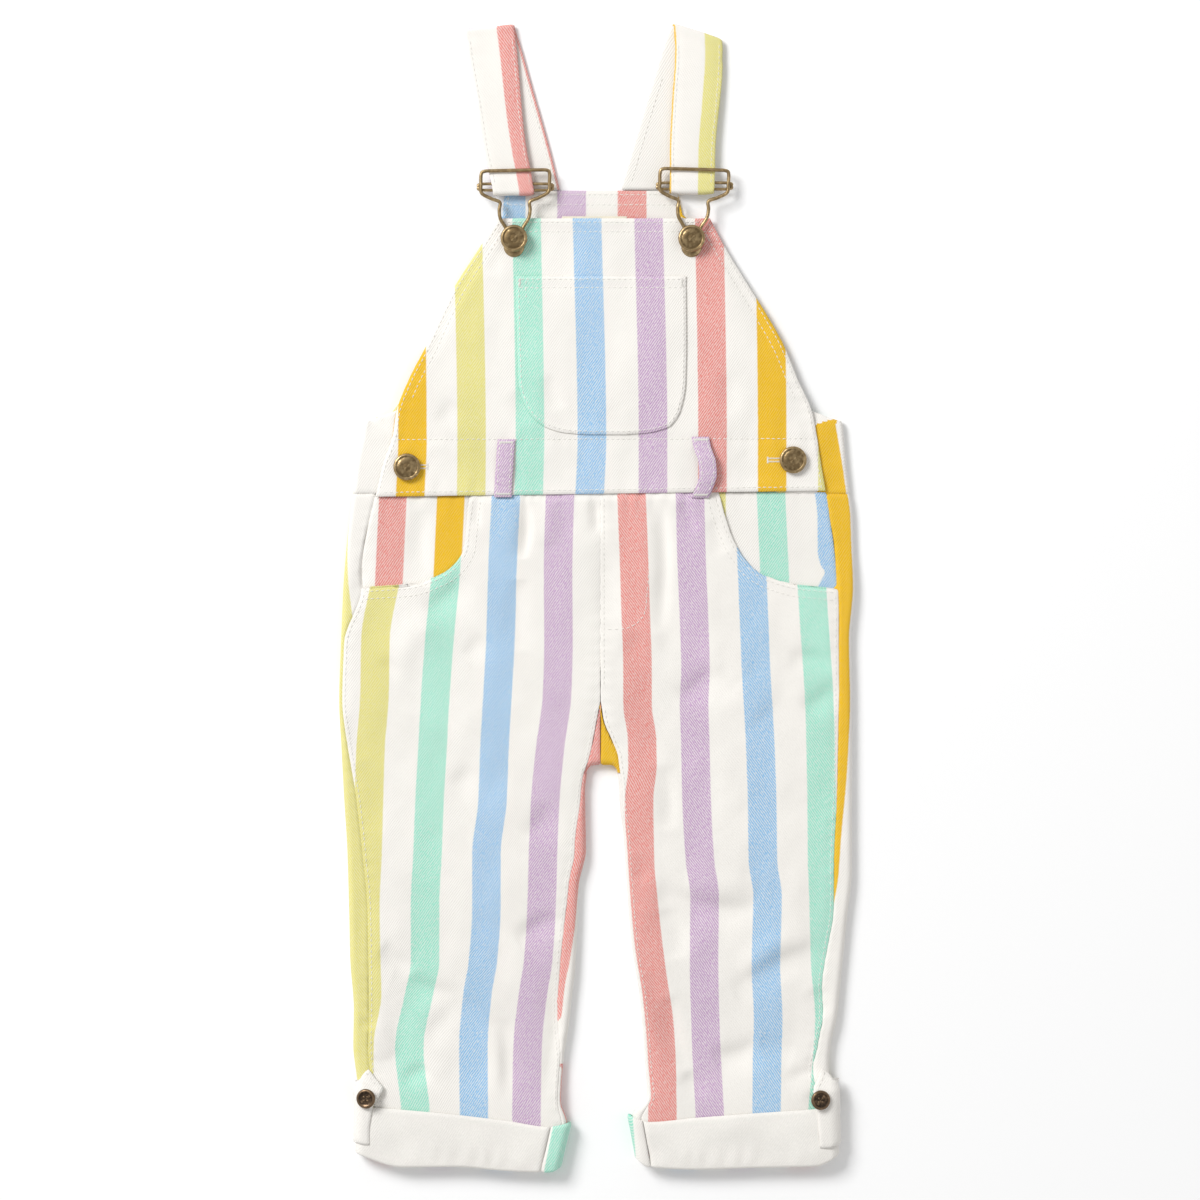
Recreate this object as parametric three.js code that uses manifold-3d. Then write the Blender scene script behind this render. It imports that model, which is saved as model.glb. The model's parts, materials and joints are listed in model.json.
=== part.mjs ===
// Child's striped bib overalls, laid flat on their back. Millimetres, +Z up out of the front.
// +X is the wearer's left, +Y runs towards the straps, and the origin is the middle of the
// underside's bounding box. Every cloth piece is a closed wall between two grids of points.
import * as THREE from "three";
import { mergeVertices } from "three/addons/utils/BufferGeometryUtils.js";
import Module from "manifold-3d";

const wasm = await Module();
wasm.setup();

// Cloth
const WALL = 1.5; // wall of every main panel
const THIN_WALL = 1.2; // pocket facings, patch pocket, loops and tabs
const GAP = 0.3; // clearance at seams and between layers
const LEG_HEIGHT = 6.6; // a laid trouser leg, floor to top surface
const SIDE_HEIGHT = 4.8; // the sides above the pockets, where the front lies over them
const LAYER = WALL + GAP;

// Waist
const CENTRE_X = 2;
const waistY = (x) => 59.2 + 0.0135 * x; // seam between the bib front and the trousers

// Crotch
const CROTCH_START_Y = -100; // where the inner leg edge starts to turn into the crotch fold
const CROTCH_RADIUS = 4.5;
const APEX_Y = -60.2; // top of the small opening between the front panels
const TURN_ROWS = 8; // rows of the back panel that turn round the crotch corner

// Turn-ups
const CUFF_WALL = 1.6;
const CUFF_TOP_Y = -295;
const CUFF_HEM_Y = -320;
const CUFF_HEIGHT = LEG_HEIGHT + 2 * (CUFF_WALL + GAP);
const CUFF_ROLL = (CUFF_WALL + GAP + WALL) / 2; // outer radius of the fold at the hem
const CUFF_TUCK = 1.5; // length of the cuff's inner layer
const HEM_CLEARANCE = 2.2; // from there to the end of the leg inside it
const CUFF_LIFT = CUFF_WALL + GAP; // how far the cuff's lower layer lifts the leg

const LEGS = [
  {
    name: "right",
    side: -1,
    outer: [
      { y: 58.5, x: -139.4, seam: 12.8 },
      { y: 38.5, x: -142, seam: 10.8 },
      { y: 17.4, x: -143.9, seam: 9.4 },
      { y: 4.3, x: -144.8, seam: 10.3 },
      { y: -27.1, x: -146.1, seam: 1.5 },
      { y: -58.4, x: -147.1, seam: 1.5 },
      { y: -84.1, x: -145.9, seam: 3.6 },
      { y: -115.4, x: -144.2, seam: 7 },
      { y: -143.9, x: -142.5, seam: 8.5 },
      { y: -179.3, x: -141.4, seam: 10.5 },
      { y: -206, x: -140.8, seam: 10.3 },
      { y: -235, x: -138.8, seam: 8.5 },
      { y: -257.9, x: -139.1, seam: 8.5 },
      { y: -280, x: -136.8, seam: 8 },
      { y: -295, x: -135.6, seam: 8 },
      { y: -321, x: -135.8, seam: 8 },
    ],
    inner: [
      { y: -100, x: -5.8, seam: 1.5 },
      { y: -110.3, x: -6.8, seam: 2 },
      { y: -143.9, x: -6.3, seam: 6.3 },
      { y: -163.9, x: -10.3, seam: 5.7 },
      { y: -190.1, x: -11.4, seam: 7.6 },
      { y: -211.2, x: -12.5, seam: 8.5 },
      { y: -229.4, x: -14.5, seam: 8 },
      { y: -242.5, x: -16, seam: 6.3 },
      { y: -263.6, x: -19.4, seam: 1.5 },
      { y: -282, x: -20.6, seam: 1.5 },
      { y: -295, x: -17, seam: 3 },
      { y: -321, x: -21, seam: 3 },
    ],
    crotchSeam: [
      { y: -60.2, x: 1.85 },
      { y: -70, x: 0 },
      { y: -80.1, x: -1.9 },
      { y: -90, x: -3.9 },
      { y: -100, x: -7.3 },
    ],
    pocket: [
      { y: 58.5, x: -72.4 },
      { y: 38.5, x: -74.7 },
      { y: 28.2, x: -75.8 },
      { y: 21.4, x: -79.2 },
      { y: 15.7, x: -84.9 },
      { y: 11.1, x: -93.5 },
      { y: 7.1, x: -106.6 },
      { y: 5.2, x: -134.3 },
    ],
    cuff: [
      { x: -137.5, top: -289.5, hem: -317 },
      { x: -110.5, top: -291.5, hem: -324.6 },
      { x: -80.4, top: -294.4, hem: -324.3 },
      { x: -51.9, top: -297.8, hem: -326.6 },
      { x: -27.4, top: -301.2, hem: -327.5 },
      { x: -14.5, top: -299, hem: -321.5 },
    ],
    cuffSides: { outerTop: -137.5, outerHem: -137.9, innerTop: -14.2, innerHem: -20 },
    cuffSeam: 12,
    tab: [
      { share: 0.8, above: 0, width: 8.3 },
      { share: 0.4, above: 0, width: 8.3 },
      { share: 0.02, above: 0, width: 9.6 },
      { share: 0, above: 3, width: 11.4 },
      { share: 0, above: 10, width: 15 },
      { share: 0, above: 15.8, width: 16 },
      { share: 0, above: 22, width: 11 },
      { share: 0, above: 26.5, width: 7.3 },
    ],
    tabButton: { x: -131.2, tilt: 0.25, rise: 0.8 },
  },
  {
    name: "left",
    side: 1,
    outer: [
      { y: 60.1, x: 144.2, seam: 13.7 },
      { y: 47, x: 145.9, seam: 13.4 },
      { y: 29.9, x: 146.5, seam: 11.4 },
      { y: 6.6, x: 147.1, seam: 9.7 },
      { y: -24.2, x: 144.8, seam: 6.8 },
      { y: -58.4, x: 145.4, seam: 7.4 },
      { y: -92.6, x: 145.4, seam: 8 },
      { y: -115.4, x: 145.4, seam: 8.6 },
      { y: -155.3, x: 145.4, seam: 10.3 },
      { y: -194.7, x: 141.4, seam: 9 },
      { y: -216.9, x: 139.1, seam: 10.5 },
      { y: -239.7, x: 136.8, seam: 8 },
      { y: -256.2, x: 133.4, seam: 7.4 },
      { y: -271, x: 132.2, seam: 9 },
      { y: -295, x: 135.5, seam: 9 },
      { y: -321, x: 136.2, seam: 9 },
    ],
    inner: [
      { y: -100, x: 11.6, seam: 1.3 },
      { y: -105.7, x: 12.5, seam: 1.3 },
      { y: -119.4, x: 13.1, seam: 1.3 },
      { y: -132.5, x: 14.8, seam: 1.3 },
      { y: -166.2, x: 17.1, seam: 1.3 },
      { y: -195.2, x: 19.4, seam: 1.5 },
      { y: -229.4, x: 24.5, seam: 1.5 },
      { y: -263.6, x: 27.4, seam: 1.5 },
      { y: -281, x: 28.6, seam: 2 },
      { y: -295, x: 20.2, seam: 5 },
      { y: -321, x: 24, seam: 5 },
    ],
    crotchSeam: [
      { y: -60.2, x: 2.15 },
      { y: -70, x: 3.6 },
      { y: -80.1, x: 7.8 },
      { y: -90, x: 11.6 },
      { y: -100, x: 12.9 },
    ],
    pocket: [
      { y: 60, x: 68.4 },
      { y: 44.7, x: 73 },
      { y: 29.9, x: 79.2 },
      { y: 19.7, x: 86.1 },
      { y: 13.4, x: 93.5 },
      { y: 9.4, x: 103.7 },
      { y: 6.6, x: 115 },
      { y: 4.6, x: 136.6 },
    ],
    cuff: [
      { x: 16.5, top: -294.4, hem: -316 },
      { x: 30.2, top: -298.4, hem: -324.6 },
      { x: 55.9, top: -296.1, hem: -325.8 },
      { x: 88.9, top: -293.6, hem: -324.9 },
      { x: 124.8, top: -291, hem: -324 },
      { x: 138, top: -288.7, hem: -318.3 },
    ],
    cuffSides: { outerTop: 137.4, outerHem: 138.1, innerTop: 17, innerHem: 21.5 },
    cuffSeam: 9,
    tab: [
      { share: 0.8, above: 0, width: 11 },
      { share: 0.4, above: 0, width: 11.9 },
      { share: 0.02, above: 0, width: 12.3 },
      { share: 0, above: 3, width: 12.9 },
      { share: 0, above: 10, width: 14.3 },
      { share: 0, above: 16, width: 14 },
      { share: 0, above: 23, width: 11 },
      { share: 0, above: 27.5, width: 9.5 },
    ],
    tabButton: { x: 127, tilt: 0.2, rise: 1.35 },
  },
];

// Bib front: half outlines from the waist seam up to the hem, wearer's right and left.
const BIB = [
  { y: 58, right: -126.5, left: 130.5 },
  { y: 75, right: -122.5, left: 127.8 },
  { y: 92, right: -116.5, left: 125.3 },
  { y: 106, right: -114.3, left: 122.6 },
  { y: 124, right: -107.5, left: 114.6 },
  { y: 143.9, right: -97.3, left: 106.5 },
  { y: 161, right: -89.5, left: 97 },
  { y: 177, right: -81.5, left: 87 },
  { y: 201, right: -66.1, left: 72.4 },
  { y: 216.3, right: -56.4, left: 64.4 },
];
const BIB_TOP_HEIGHT = 4.8;

// Upper back: a flat sheet whose sides wrap round to the front under the bib's buttoned ends.
const BACK = [
  { y: 58.5, right: -139.4, left: 144.2, wrap: 1 },
  { y: 75, right: -137.4, left: 142.4, wrap: 1 },
  { y: 90, right: -134.5, left: 141, wrap: 1 },
  { y: 101, right: -132.2, left: 139.7, wrap: 1 },
  { y: 105, right: -117.5, left: 121, wrap: 0 },
  { y: 124, right: -103.5, left: 111, wrap: 0 },
  { y: 141, right: -94, left: 103, wrap: 0 },
  { y: 164, right: -84, left: 90.5, wrap: 0 },
  { y: 187, right: -71.5, left: 77, wrap: 0 },
  { y: 210, right: -57, left: 61, wrap: 0 },
  { y: 218, right: -54, left: 49, wrap: 0 },
  { y: 232.3, right: -52.5, left: 45.8, wrap: 0 },
];
const BACK_WRAP = 42; // width of the part that wraps round to the front
const WRAP_SLOPE = 0.37; // its top edge climbs towards the middle
const WRAP_CLIMB = 7;
const WRAP_BEND = 18; // from the side to where that edge has climbed

// Patch pocket on the bib: its half widths measured from its own middle line.
const PATCH_X = 1.5;
const PATCH = [
  { y: 92.9, right: -9, left: 15 },
  { y: 94.3, right: -22, left: 30 },
  { y: 98.4, right: -33, left: 41 },
  { y: 108, right: -42, left: 46.5 },
  { y: 122, right: -46.2, left: 49 },
  { y: 144, right: -47, left: 49.5 },
  { y: 183.3, right: -48, left: 49.3 },
];

// Largest folds: soft troughs (negative) and ridges along straight lines.
const FOLDS = [
  { x0: -95, y0: 50, x1: -100, y1: -60, width: 7, height: -0.9 },
  { x0: -62, y0: 54, x1: -58, y1: -20, width: 6, height: 0.4 },
  { x0: -40, y0: 52, x1: -50, y1: -60, width: 9, height: -0.8 },
  { x0: 52, y0: 52, x1: 44, y1: -10, width: 8, height: -0.8 },
  { x0: 96, y0: -20, x1: 84, y1: -120, width: 11, height: -0.8 },
  { x0: -110, y0: -120, x1: -40, y1: -165, width: 12, height: -1 },
  { x0: -15, y0: -110, x1: -80, y1: -150, width: 8, height: 0.4 },
  { x0: -120, y0: -230, x1: -50, y1: -205, width: 11, height: -0.9 },
  { x0: 30, y0: -120, x1: 80, y1: -160, width: 9, height: 0.4 },
  { x0: 40, y0: -205, x1: 120, y1: -185, width: 12, height: -1 },
  { x0: 45, y0: -255, x1: 110, y1: -240, width: 9, height: 0.4 },
  { x0: -70, y0: 120, x1: -45, y1: 190, width: 9, height: -0.6 },
  { x0: 30, y0: 110, x1: 62, y1: 180, width: 10, height: -0.6 },
];

const COLORS = {
  cloth: 0xf6f3ec,
  stripe: 0xd2b7da,
  mint: 0xaeebd3,
  pink: 0xf0a09c,
  lime: 0xe8e48a,
  metal: 0x8c7a4f,
  darkMetal: 0x4a3a28,
};

const group = new THREE.Group();

function material(color, metalness = 0, roughness = 0.9) {
  return new THREE.MeshStandardMaterial({ color, metalness, roughness });
}

function addPiece(name, geometry, finish) {
  const mesh = new THREE.Mesh(geometry, finish);
  mesh.name = name;
  group.add(mesh);
}

// Small helpers

function smoothstep(low, high, value) {
  const t = Math.min(1, Math.max(0, (value - low) / (high - low)));
  return t * t * (3 - 2 * t);
}

const mix = (a, b, t) => a + (b - a) * t;

// Straight interpolation in a table whose rows are sorted by one column, either way round.
function lookUp(table, by, at, column) {
  const rising = table[0][by] < table[table.length - 1][by];
  const rows = rising ? table : [...table].reverse();
  if (at <= rows[0][by]) return rows[0][column];
  for (let i = 1; i < rows.length; i++) {
    if (at > rows[i][by]) continue;
    const t = (at - rows[i - 1][by]) / (rows[i][by] - rows[i - 1][by]);
    return mix(rows[i - 1][column], rows[i][column], t);
  }
  return rows[rows.length - 1][column];
}

// Height that the folds add at a place.
function foldHeight(x, y) {
  let total = 0;
  for (const fold of FOLDS) {
    const dx = fold.x1 - fold.x0;
    const dy = fold.y1 - fold.y0;
    const along = ((x - fold.x0) * dx + (y - fold.y0) * dy) / (dx * dx + dy * dy);
    const t = Math.min(1, Math.max(0, along));
    const away = Math.hypot(x - fold.x0 - t * dx, y - fold.y0 - t * dy);
    total += fold.height * Math.exp(-((away / fold.width) ** 2));
  }
  return total;
}

// A closed wall between two grids with the same layout; a missing cell is null.
function wallBetween(outer, inner) {
  const points = [];
  const ids = new Map();
  const idOf = (grid, i, j) => {
    const key = `${grid === outer ? 0 : 1}/${i}/${j}`;
    if (!ids.has(key)) {
      ids.set(key, points.length);
      points.push(grid[i][j]);
    }
    return ids.get(key);
  };
  const faces = [];
  const open = new Map();
  const addFace = (a, b, c, pairs) => {
    faces.push([a[0], b[0], c[0]], [c[1], b[1], a[1]]);
    for (const [p, q] of pairs) {
      const back = `${q[0]}>${p[0]}`;
      if (open.has(back)) open.delete(back);
      else open.set(`${p[0]}>${q[0]}`, [p, q]);
    }
  };
  for (let i = 0; i + 1 < outer.length; i++) {
    for (let j = 0; j + 1 < outer[i].length; j++) {
      const corners = [[i, j], [i + 1, j], [i + 1, j + 1], [i, j + 1]];
      if (corners.some(([r, c]) => !outer[r][c])) continue;
      const [a, b, c, d] = corners.map(([r, k]) => [idOf(outer, r, k), idOf(inner, r, k)]);
      const across = outer[i][j].distanceTo(outer[i + 1][j + 1]);
      const other = outer[i + 1][j].distanceTo(outer[i][j + 1]);
      if (across <= other) {
        addFace(a, b, c, [[a, b], [b, c], [c, a]]);
        addFace(a, c, d, [[a, c], [c, d], [d, a]]);
      } else {
        addFace(a, b, d, [[a, b], [b, d], [d, a]]);
        addFace(b, c, d, [[b, c], [c, d], [d, b]]);
      }
    }
  }
  for (const [p, q] of open.values()) {
    faces.push([p[0], q[1], q[0]], [p[0], p[1], q[1]]);
  }
  return outwardGeometry(points, faces);
}

// An indexed geometry from points and triangles, turned round if it faces in.
function outwardGeometry(points, faces) {
  let volume = 0;
  for (const [a, b, c] of faces) {
    volume += points[a].dot(points[b].clone().cross(points[c]));
  }
  const ordered = volume > 0 ? faces : faces.map(([a, b, c]) => [a, c, b]);
  const geometry = new THREE.BufferGeometry();
  geometry.setAttribute(
    "position",
    new THREE.Float32BufferAttribute(points.flatMap((p) => [p.x, p.y, p.z]), 3),
  );
  geometry.setIndex(ordered.flat());
  return geometry;
}

// A closed wall from one grid of top points and its thickness downwards.
function wallBelow(grid, thickness) {
  const under = grid.map((row) => row.map((p) => p && new THREE.Vector3(p.x, p.y, p.z - thickness)));
  return wallBetween(grid, under);
}

function fused(geometries) {
  let body = null;
  for (const geometry of geometries) {
    const plain = geometry.clone();
    plain.deleteAttribute("normal");
    plain.deleteAttribute("uv");
    const merged = mergeVertices(plain, 1e-4);
    const solid = new wasm.Manifold(
      new wasm.Mesh({
        numProp: 3,
        vertProperties: new Float32Array(merged.attributes.position.array),
        triVerts: new Uint32Array(merged.index.array),
      }),
    );
    body = body ? body.add(solid) : solid;
  }
  const mesh = body.getMesh();
  const result = new THREE.BufferGeometry();
  result.setAttribute("position", new THREE.Float32BufferAttribute(mesh.vertProperties, 3));
  result.setIndex(Array.from(mesh.triVerts));
  return result;
}

// Trouser legs

// Real y of a leg's row at x: straight above, following the cuff's own edges lower down.
function rowY(leg, s, x) {
  const top = lookUp(leg.cuff, "x", x, "top");
  if (s >= CUFF_TOP_Y) return s + smoothstep(-225, CUFF_TOP_Y, s) * (top - CUFF_TOP_Y);
  const hem = lookUp(leg.cuff, "x", x, "hem") + CUFF_ROLL + CUFF_TUCK + HEM_CLEARANCE;
  return mix(top, hem, (CUFF_TOP_Y - s) / (CUFF_TOP_Y - CUFF_HEM_Y));
}

const lift = (s) => CUFF_LIFT * smoothstep(-262, -291, s);

// Height of the leg's outer side: lower beside the pockets, full below them.
const sideHeight = (s) => mix(LEG_HEIGHT, SIDE_HEIGHT, smoothstep(5, 33, s));

function legTop(leg, s, x) {
  const fromOuter = Math.abs(x - lookUp(leg.outer, "y", s, "x"));
  const fromInner = s > CROTCH_START_Y ? 100 : Math.abs(x - lookUp(leg.inner, "y", s, "x"));
  const fade = smoothstep(3, 14, Math.min(fromOuter, fromInner));
  const cuffFade = 1 - smoothstep(-262, -285, s);
  return lift(s) + LEG_HEIGHT + foldHeight(x, s) * fade * cuffFade;
}

// Samples round one side of a leg, from its seam on top down to the floor.
function sideSamples(leg, s, edge, roll, seam, count) {
  const base = lift(s);
  const flat = Math.max(0, seam - roll);
  const start = seam >= roll ? Math.PI / 2 : Math.acos(1 - seam / roll);
  const arc = roll * (start + Math.PI / 2);
  const flatSteps = flat > 2 * roll ? 2 : 0; // a long flat part gets its own steps
  const samples = [];
  for (let k = 0; k <= count; k++) {
    let run = ((flat + arc) * k) / count;
    if (flatSteps && k < flatSteps) run = (flat * k) / flatSteps;
    else if (flatSteps) run = flat + (arc * (k - flatSteps)) / (count - flatSteps);
    const inward = run < flat ? flat - run : 0;
    const angle = run < flat ? Math.PI / 2 : start - (run - flat) / roll;
    const make = (radius) => {
      const out = radius * Math.cos(angle) - roll - inward;
      const x = edge.x + edge.nx * out;
      const y = edge.y + edge.ny * out;
      return new THREE.Vector3(x, y, base + roll + radius * Math.sin(angle));
    };
    samples.push({ outer: make(roll), inner: make(roll - WALL) });
  }
  return samples;
}

const SIDE_STEPS = 6;
const FLOOR_STEPS = 5;
const TURN_STEPS = 2; // of those, the ones that run along the crotch corner

// One row of a back panel: outer side, floor, inner side.
function backRow(leg, s, turn) {
  const outerX = lookUp(leg.outer, "y", s, "x");
  const outerRoll = sideHeight(s) / 2;
  const outerSeam = lookUp(leg.outer, "y", s, "seam") - GAP / 2;
  const outerEdge = { x: outerX, y: s, nx: leg.side, ny: 0 };
  const outerSide = sideSamples(leg, s, outerEdge, outerRoll, outerSeam, SIDE_STEPS);
  const innerEdge = turn ? turn.edge : { x: lookUp(leg.inner, "y", s, "x"), y: s, nx: -leg.side, ny: 0 };
  const innerSeam = turn ? turn.seam : lookUp(leg.inner, "y", s, "seam");
  const roll = LEG_HEIGHT / 2;
  const level = turn ? 0 : s;
  const innerSide = sideSamples(leg, level, innerEdge, roll, innerSeam - GAP / 2, SIDE_STEPS).reverse();
  const from = outerSide[SIDE_STEPS].outer;
  const to = innerSide[0].outer;
  const bend = turn ? turn.bend : null;
  const floor = [];
  for (let k = 1; k < FLOOR_STEPS; k++) {
    const split = FLOOR_STEPS - TURN_STEPS;
    const point = new THREE.Vector3();
    if (!bend) point.lerpVectors(from, to, k / FLOOR_STEPS);
    else if (k <= split) point.lerpVectors(from, bend, k / split);
    else point.lerpVectors(bend, to, (k - split) / TURN_STEPS);
    floor.push({ outer: point, inner: new THREE.Vector3(point.x, point.y, point.z + WALL) });
  }
  const row = [...outerSide, ...floor, ...innerSide];
  if (!turn) {
    for (const sample of row) {
      for (const p of [sample.outer, sample.inner]) p.y = rowY(leg, s, p.x);
    }
  }
  return row;
}

// The rows that turn from the inner leg edge, round the crotch corner, to the centre seam.
function crotchTurns(leg) {
  const startX = lookUp(leg.inner, "y", CROTCH_START_Y, "x");
  const centre = CENTRE_X + (leg.side * GAP) / 2;
  const half = TURN_ROWS / 2;
  const seamYs = [-98, -95.5, -93, -90, -85, -80.1, -70, APEX_Y - 0.5];
  const turns = [];
  for (let k = 1; k <= TURN_ROWS; k++) {
    const t = k / TURN_ROWS;
    const angle = (Math.min(1, k / half) * Math.PI) / 2;
    const arcX = startX - leg.side * CROTCH_RADIUS * (1 - Math.cos(angle));
    const slide = k > half ? (k - half) / half : 0;
    const foldX = mix(arcX, centre, slide);
    const foldY = CROTCH_START_Y + CROTCH_RADIUS * Math.sin(angle);
    const seamX = lookUp(leg.crotchSeam, "y", seamYs[k - 1], "x");
    const seam = Math.hypot(foldX - seamX, foldY - seamYs[k - 1]);
    const edge = { x: foldX, y: foldY, nx: (foldX - seamX) / seam, ny: (foldY - seamYs[k - 1]) / seam };
    const outerS = mix(CROTCH_START_Y, waistY(0), t);
    const bendX = mix(startX, centre, Math.min(1, t * 1.3));
    const bend = new THREE.Vector3(k === TURN_ROWS ? centre : bendX, outerS, 0);
    turns.push({ s: outerS, edge, bend, seam });
  }
  return turns;
}

const BACK_ROWS = [CUFF_HEM_Y, -308, CUFF_TOP_Y, -284, -268, -250, -228, -205, -182, -160, -138, -120, -108];

function backLeg(leg) {
  const rows = [...BACK_ROWS, CROTCH_START_Y].map((s) => backRow(leg, s, null));
  for (const turn of crotchTurns(leg)) {
    rows.push(backRow(leg, turn.s, turn));
  }
  const last = rows[rows.length - 1];
  for (const sample of last) {
    for (const p of [sample.outer, sample.inner]) {
      if (p.y > waistY(0) - 1) p.y = waistY(p.x) - GAP / 2;
    }
  }
  return wallBetween(
    rows.map((row) => row.map((sample) => sample.outer)),
    rows.map((row) => row.map((sample) => sample.inner)),
  );
}

// A point of the leg's top at x, and the point behind it, following the rolled sides.
function topSample(leg, s, x) {
  const outerX = lookUp(leg.outer, "y", s, "x");
  const outerRoll = sideHeight(s) / 2;
  const fromOuter = Math.abs(x - outerX);
  const y = rowY(leg, s, x);
  const onRoll = (edgeX, roll, from, sign) => {
    const cos = 1 - from / roll;
    const sin = Math.sqrt(1 - cos * cos);
    const inset = sign * WALL * cos;
    const z = lift(s) + roll + roll * sin;
    return { outer: new THREE.Vector3(x, y, z), inner: new THREE.Vector3(x - inset, y, z - WALL * sin) };
  };
  if (fromOuter < outerRoll) return onRoll(outerX, outerRoll, fromOuter, leg.side);
  if (s <= CROTCH_START_Y) {
    const innerX = lookUp(leg.inner, "y", s, "x");
    const fromInner = Math.abs(x - innerX);
    if (fromInner < LEG_HEIGHT / 2) return onRoll(innerX, LEG_HEIGHT / 2, fromInner, -leg.side);
  }
  const z = legTop(leg, s, x);
  return { outer: new THREE.Vector3(x, y, z), inner: new THREE.Vector3(x, y, z - WALL) };
}

const FRONT_ROWS = [
  CUFF_HEM_Y, -308, CUFF_TOP_Y, -284, -268, -250, -228, -205, -182, -160, -138, -120, -108,
  CROTCH_START_Y, -90, -80.1, -70, APEX_Y, -40.3, -20.4, -0.5, 5.4, 7.2, 11.2, 16, 22, 30, 44, 58.5,
];
const FRONT_SHARES = [0, 0.012, 0.035, 0.12, 0.27, 0.43, 0.59, 0.75, 0.9, 0.98, 1];

function frontEdges(leg, s) {
  const pocketFoot = leg.pocket[leg.pocket.length - 1].y;
  const seam = lookUp(leg.outer, "y", s, "seam") + GAP / 2;
  const outseam = lookUp(leg.outer, "y", s, "x") - leg.side * seam;
  const outer = s > pocketFoot ? lookUp(leg.pocket, "y", s, "x") : outseam;
  let inner = CENTRE_X + (leg.side * GAP) / 2;
  if (s < CROTCH_START_Y) {
    inner = lookUp(leg.inner, "y", s, "x") + leg.side * (lookUp(leg.inner, "y", s, "seam") + GAP / 2);
  } else if (s < APEX_Y) {
    inner = lookUp(leg.crotchSeam, "y", s, "x") + leg.side * GAP;
  }
  return { outer, inner };
}

function frontLeg(leg) {
  const rows = FRONT_ROWS.map((s) => {
    const edges = frontEdges(leg, s);
    return FRONT_SHARES.map((share) => {
      const x = mix(edges.outer, edges.inner, share);
      const sample = topSample(leg, s, x);
      if (s === FRONT_ROWS[FRONT_ROWS.length - 1]) {
        sample.outer.y = waistY(x) - GAP / 2;
        sample.inner.y = waistY(x) - GAP / 2;
      }
      return sample;
    });
  });
  return wallBetween(
    rows.map((row) => row.map((sample) => sample.outer)),
    rows.map((row) => row.map((sample) => sample.inner)),
  );
}

const FACING_CLEARANCE = 0.4; // from the back leg's edge, more than at a seam
const FACING_DROP = 0.35; // below the front panel, more than a layer
const FACING_SHORT = 0.2; // short of the waist seam

// The pocket's back layer, which shows in the curved opening.
function pocketFacing(leg) {
  const levels = [58.5, 44, 30, 18, 8, -2];
  const shares = [0, 0.25, 0.5, 0.75, 1];
  const grid = levels.map((s, level) => {
    const seam = lookUp(leg.outer, "y", s, "seam") + GAP / 2;
    const outer = lookUp(leg.outer, "y", s, "x") - leg.side * (seam + FACING_CLEARANCE);
    const under = s > 8 ? 8 : 4;
    const inner = lookUp(leg.pocket, "y", Math.max(s, 11), "x") - leg.side * under;
    return shares.map((share) => {
      const x = mix(outer, inner, share);
      const y = level === 0 ? waistY(x) - GAP / 2 - FACING_SHORT : s;
      return new THREE.Vector3(x, y, LEG_HEIGHT + foldHeight(x, s) * 0.5 - LAYER - FACING_DROP);
    });
  });
  return wallBelow(grid, THIN_WALL);
}

// Turn-ups

function cuffPoint(leg, place, share, offset, tuck) {
  const sides = leg.cuffSides;
  const outerX = mix(sides.outerTop, sides.outerHem, share);
  const innerX = mix(sides.innerTop, sides.innerHem, share);
  const roll = CUFF_HEIGHT / 2;
  const edgeX = place.end === "outer" ? outerX : innerX;
  const normal = place.end === "outer" ? leg.side : -leg.side;
  const centreX = edgeX - normal * roll;
  const otherX = place.end === "outer" ? innerX + leg.side * roll : outerX - leg.side * roll;
  const baseX = place.across === undefined ? centreX : mix(centreX, otherX, place.across);
  const radius = roll - offset;
  const x = baseX + normal * radius * Math.cos(place.angle);
  const shownX = baseX + normal * roll * Math.cos(place.angle);
  const top = lookUp(leg.cuff, "x", shownX, "top");
  const hem = lookUp(leg.cuff, "x", shownX, "hem");
  const y = mix(top, hem + CUFF_ROLL, share) + tuck;
  return new THREE.Vector3(x, y, roll + radius * Math.sin(place.angle));
}

// Section of the turn-up: its outer face and the face behind it, from the top edge to the tuck.
function cuffSection() {
  const section = [0, 0.35, 0.7].map((share) => ({
    share,
    outer: { offset: 0, tuck: 0 },
    inner: { offset: CUFF_WALL, tuck: 0 },
  }));
  const turns = 5;
  const smallRoll = GAP / 2;
  for (let k = 0; k <= turns; k++) {
    const angle = (Math.PI * k) / turns;
    section.push({
      share: 1,
      outer: { offset: CUFF_ROLL * (1 - Math.cos(angle)), tuck: -CUFF_ROLL * Math.sin(angle) },
      inner: {
        offset: CUFF_WALL + smallRoll * (1 - Math.cos(angle)),
        tuck: -smallRoll * Math.sin(angle),
      },
    });
  }
  section.push({
    share: 1,
    outer: { offset: 2 * CUFF_ROLL, tuck: CUFF_TUCK },
    inner: { offset: CUFF_WALL + GAP, tuck: CUFF_TUCK },
  });
  return section;
}

function cuffPiece(leg, places) {
  const section = cuffSection();
  const outer = places.map((place) =>
    section.map((part) => cuffPoint(leg, place, part.share, part.outer.offset, part.outer.tuck)),
  );
  const inner = places.map((place) =>
    section.map((part) => cuffPoint(leg, place, part.share, part.inner.offset, part.inner.tuck)),
  );
  return wallBetween(outer, inner);
}

const UP = Math.PI / 2;

// Round the front: from the outer side's middle over the top to the seam near the inner side.
function frontCuffPlaces(leg) {
  const places = [];
  for (let k = 0; k <= 3; k++) places.push({ end: "outer", angle: (UP * k) / 3 });
  const width = Math.abs(leg.cuffSides.outerTop - leg.cuffSides.innerTop) - CUFF_HEIGHT;
  const seamShare = 1 - (leg.cuffSeam - CUFF_HEIGHT / 2 + GAP) / width;
  for (let k = 1; k <= 7; k++) places.push({ end: "outer", angle: UP, across: (seamShare * k) / 7 });
  return places;
}

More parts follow.
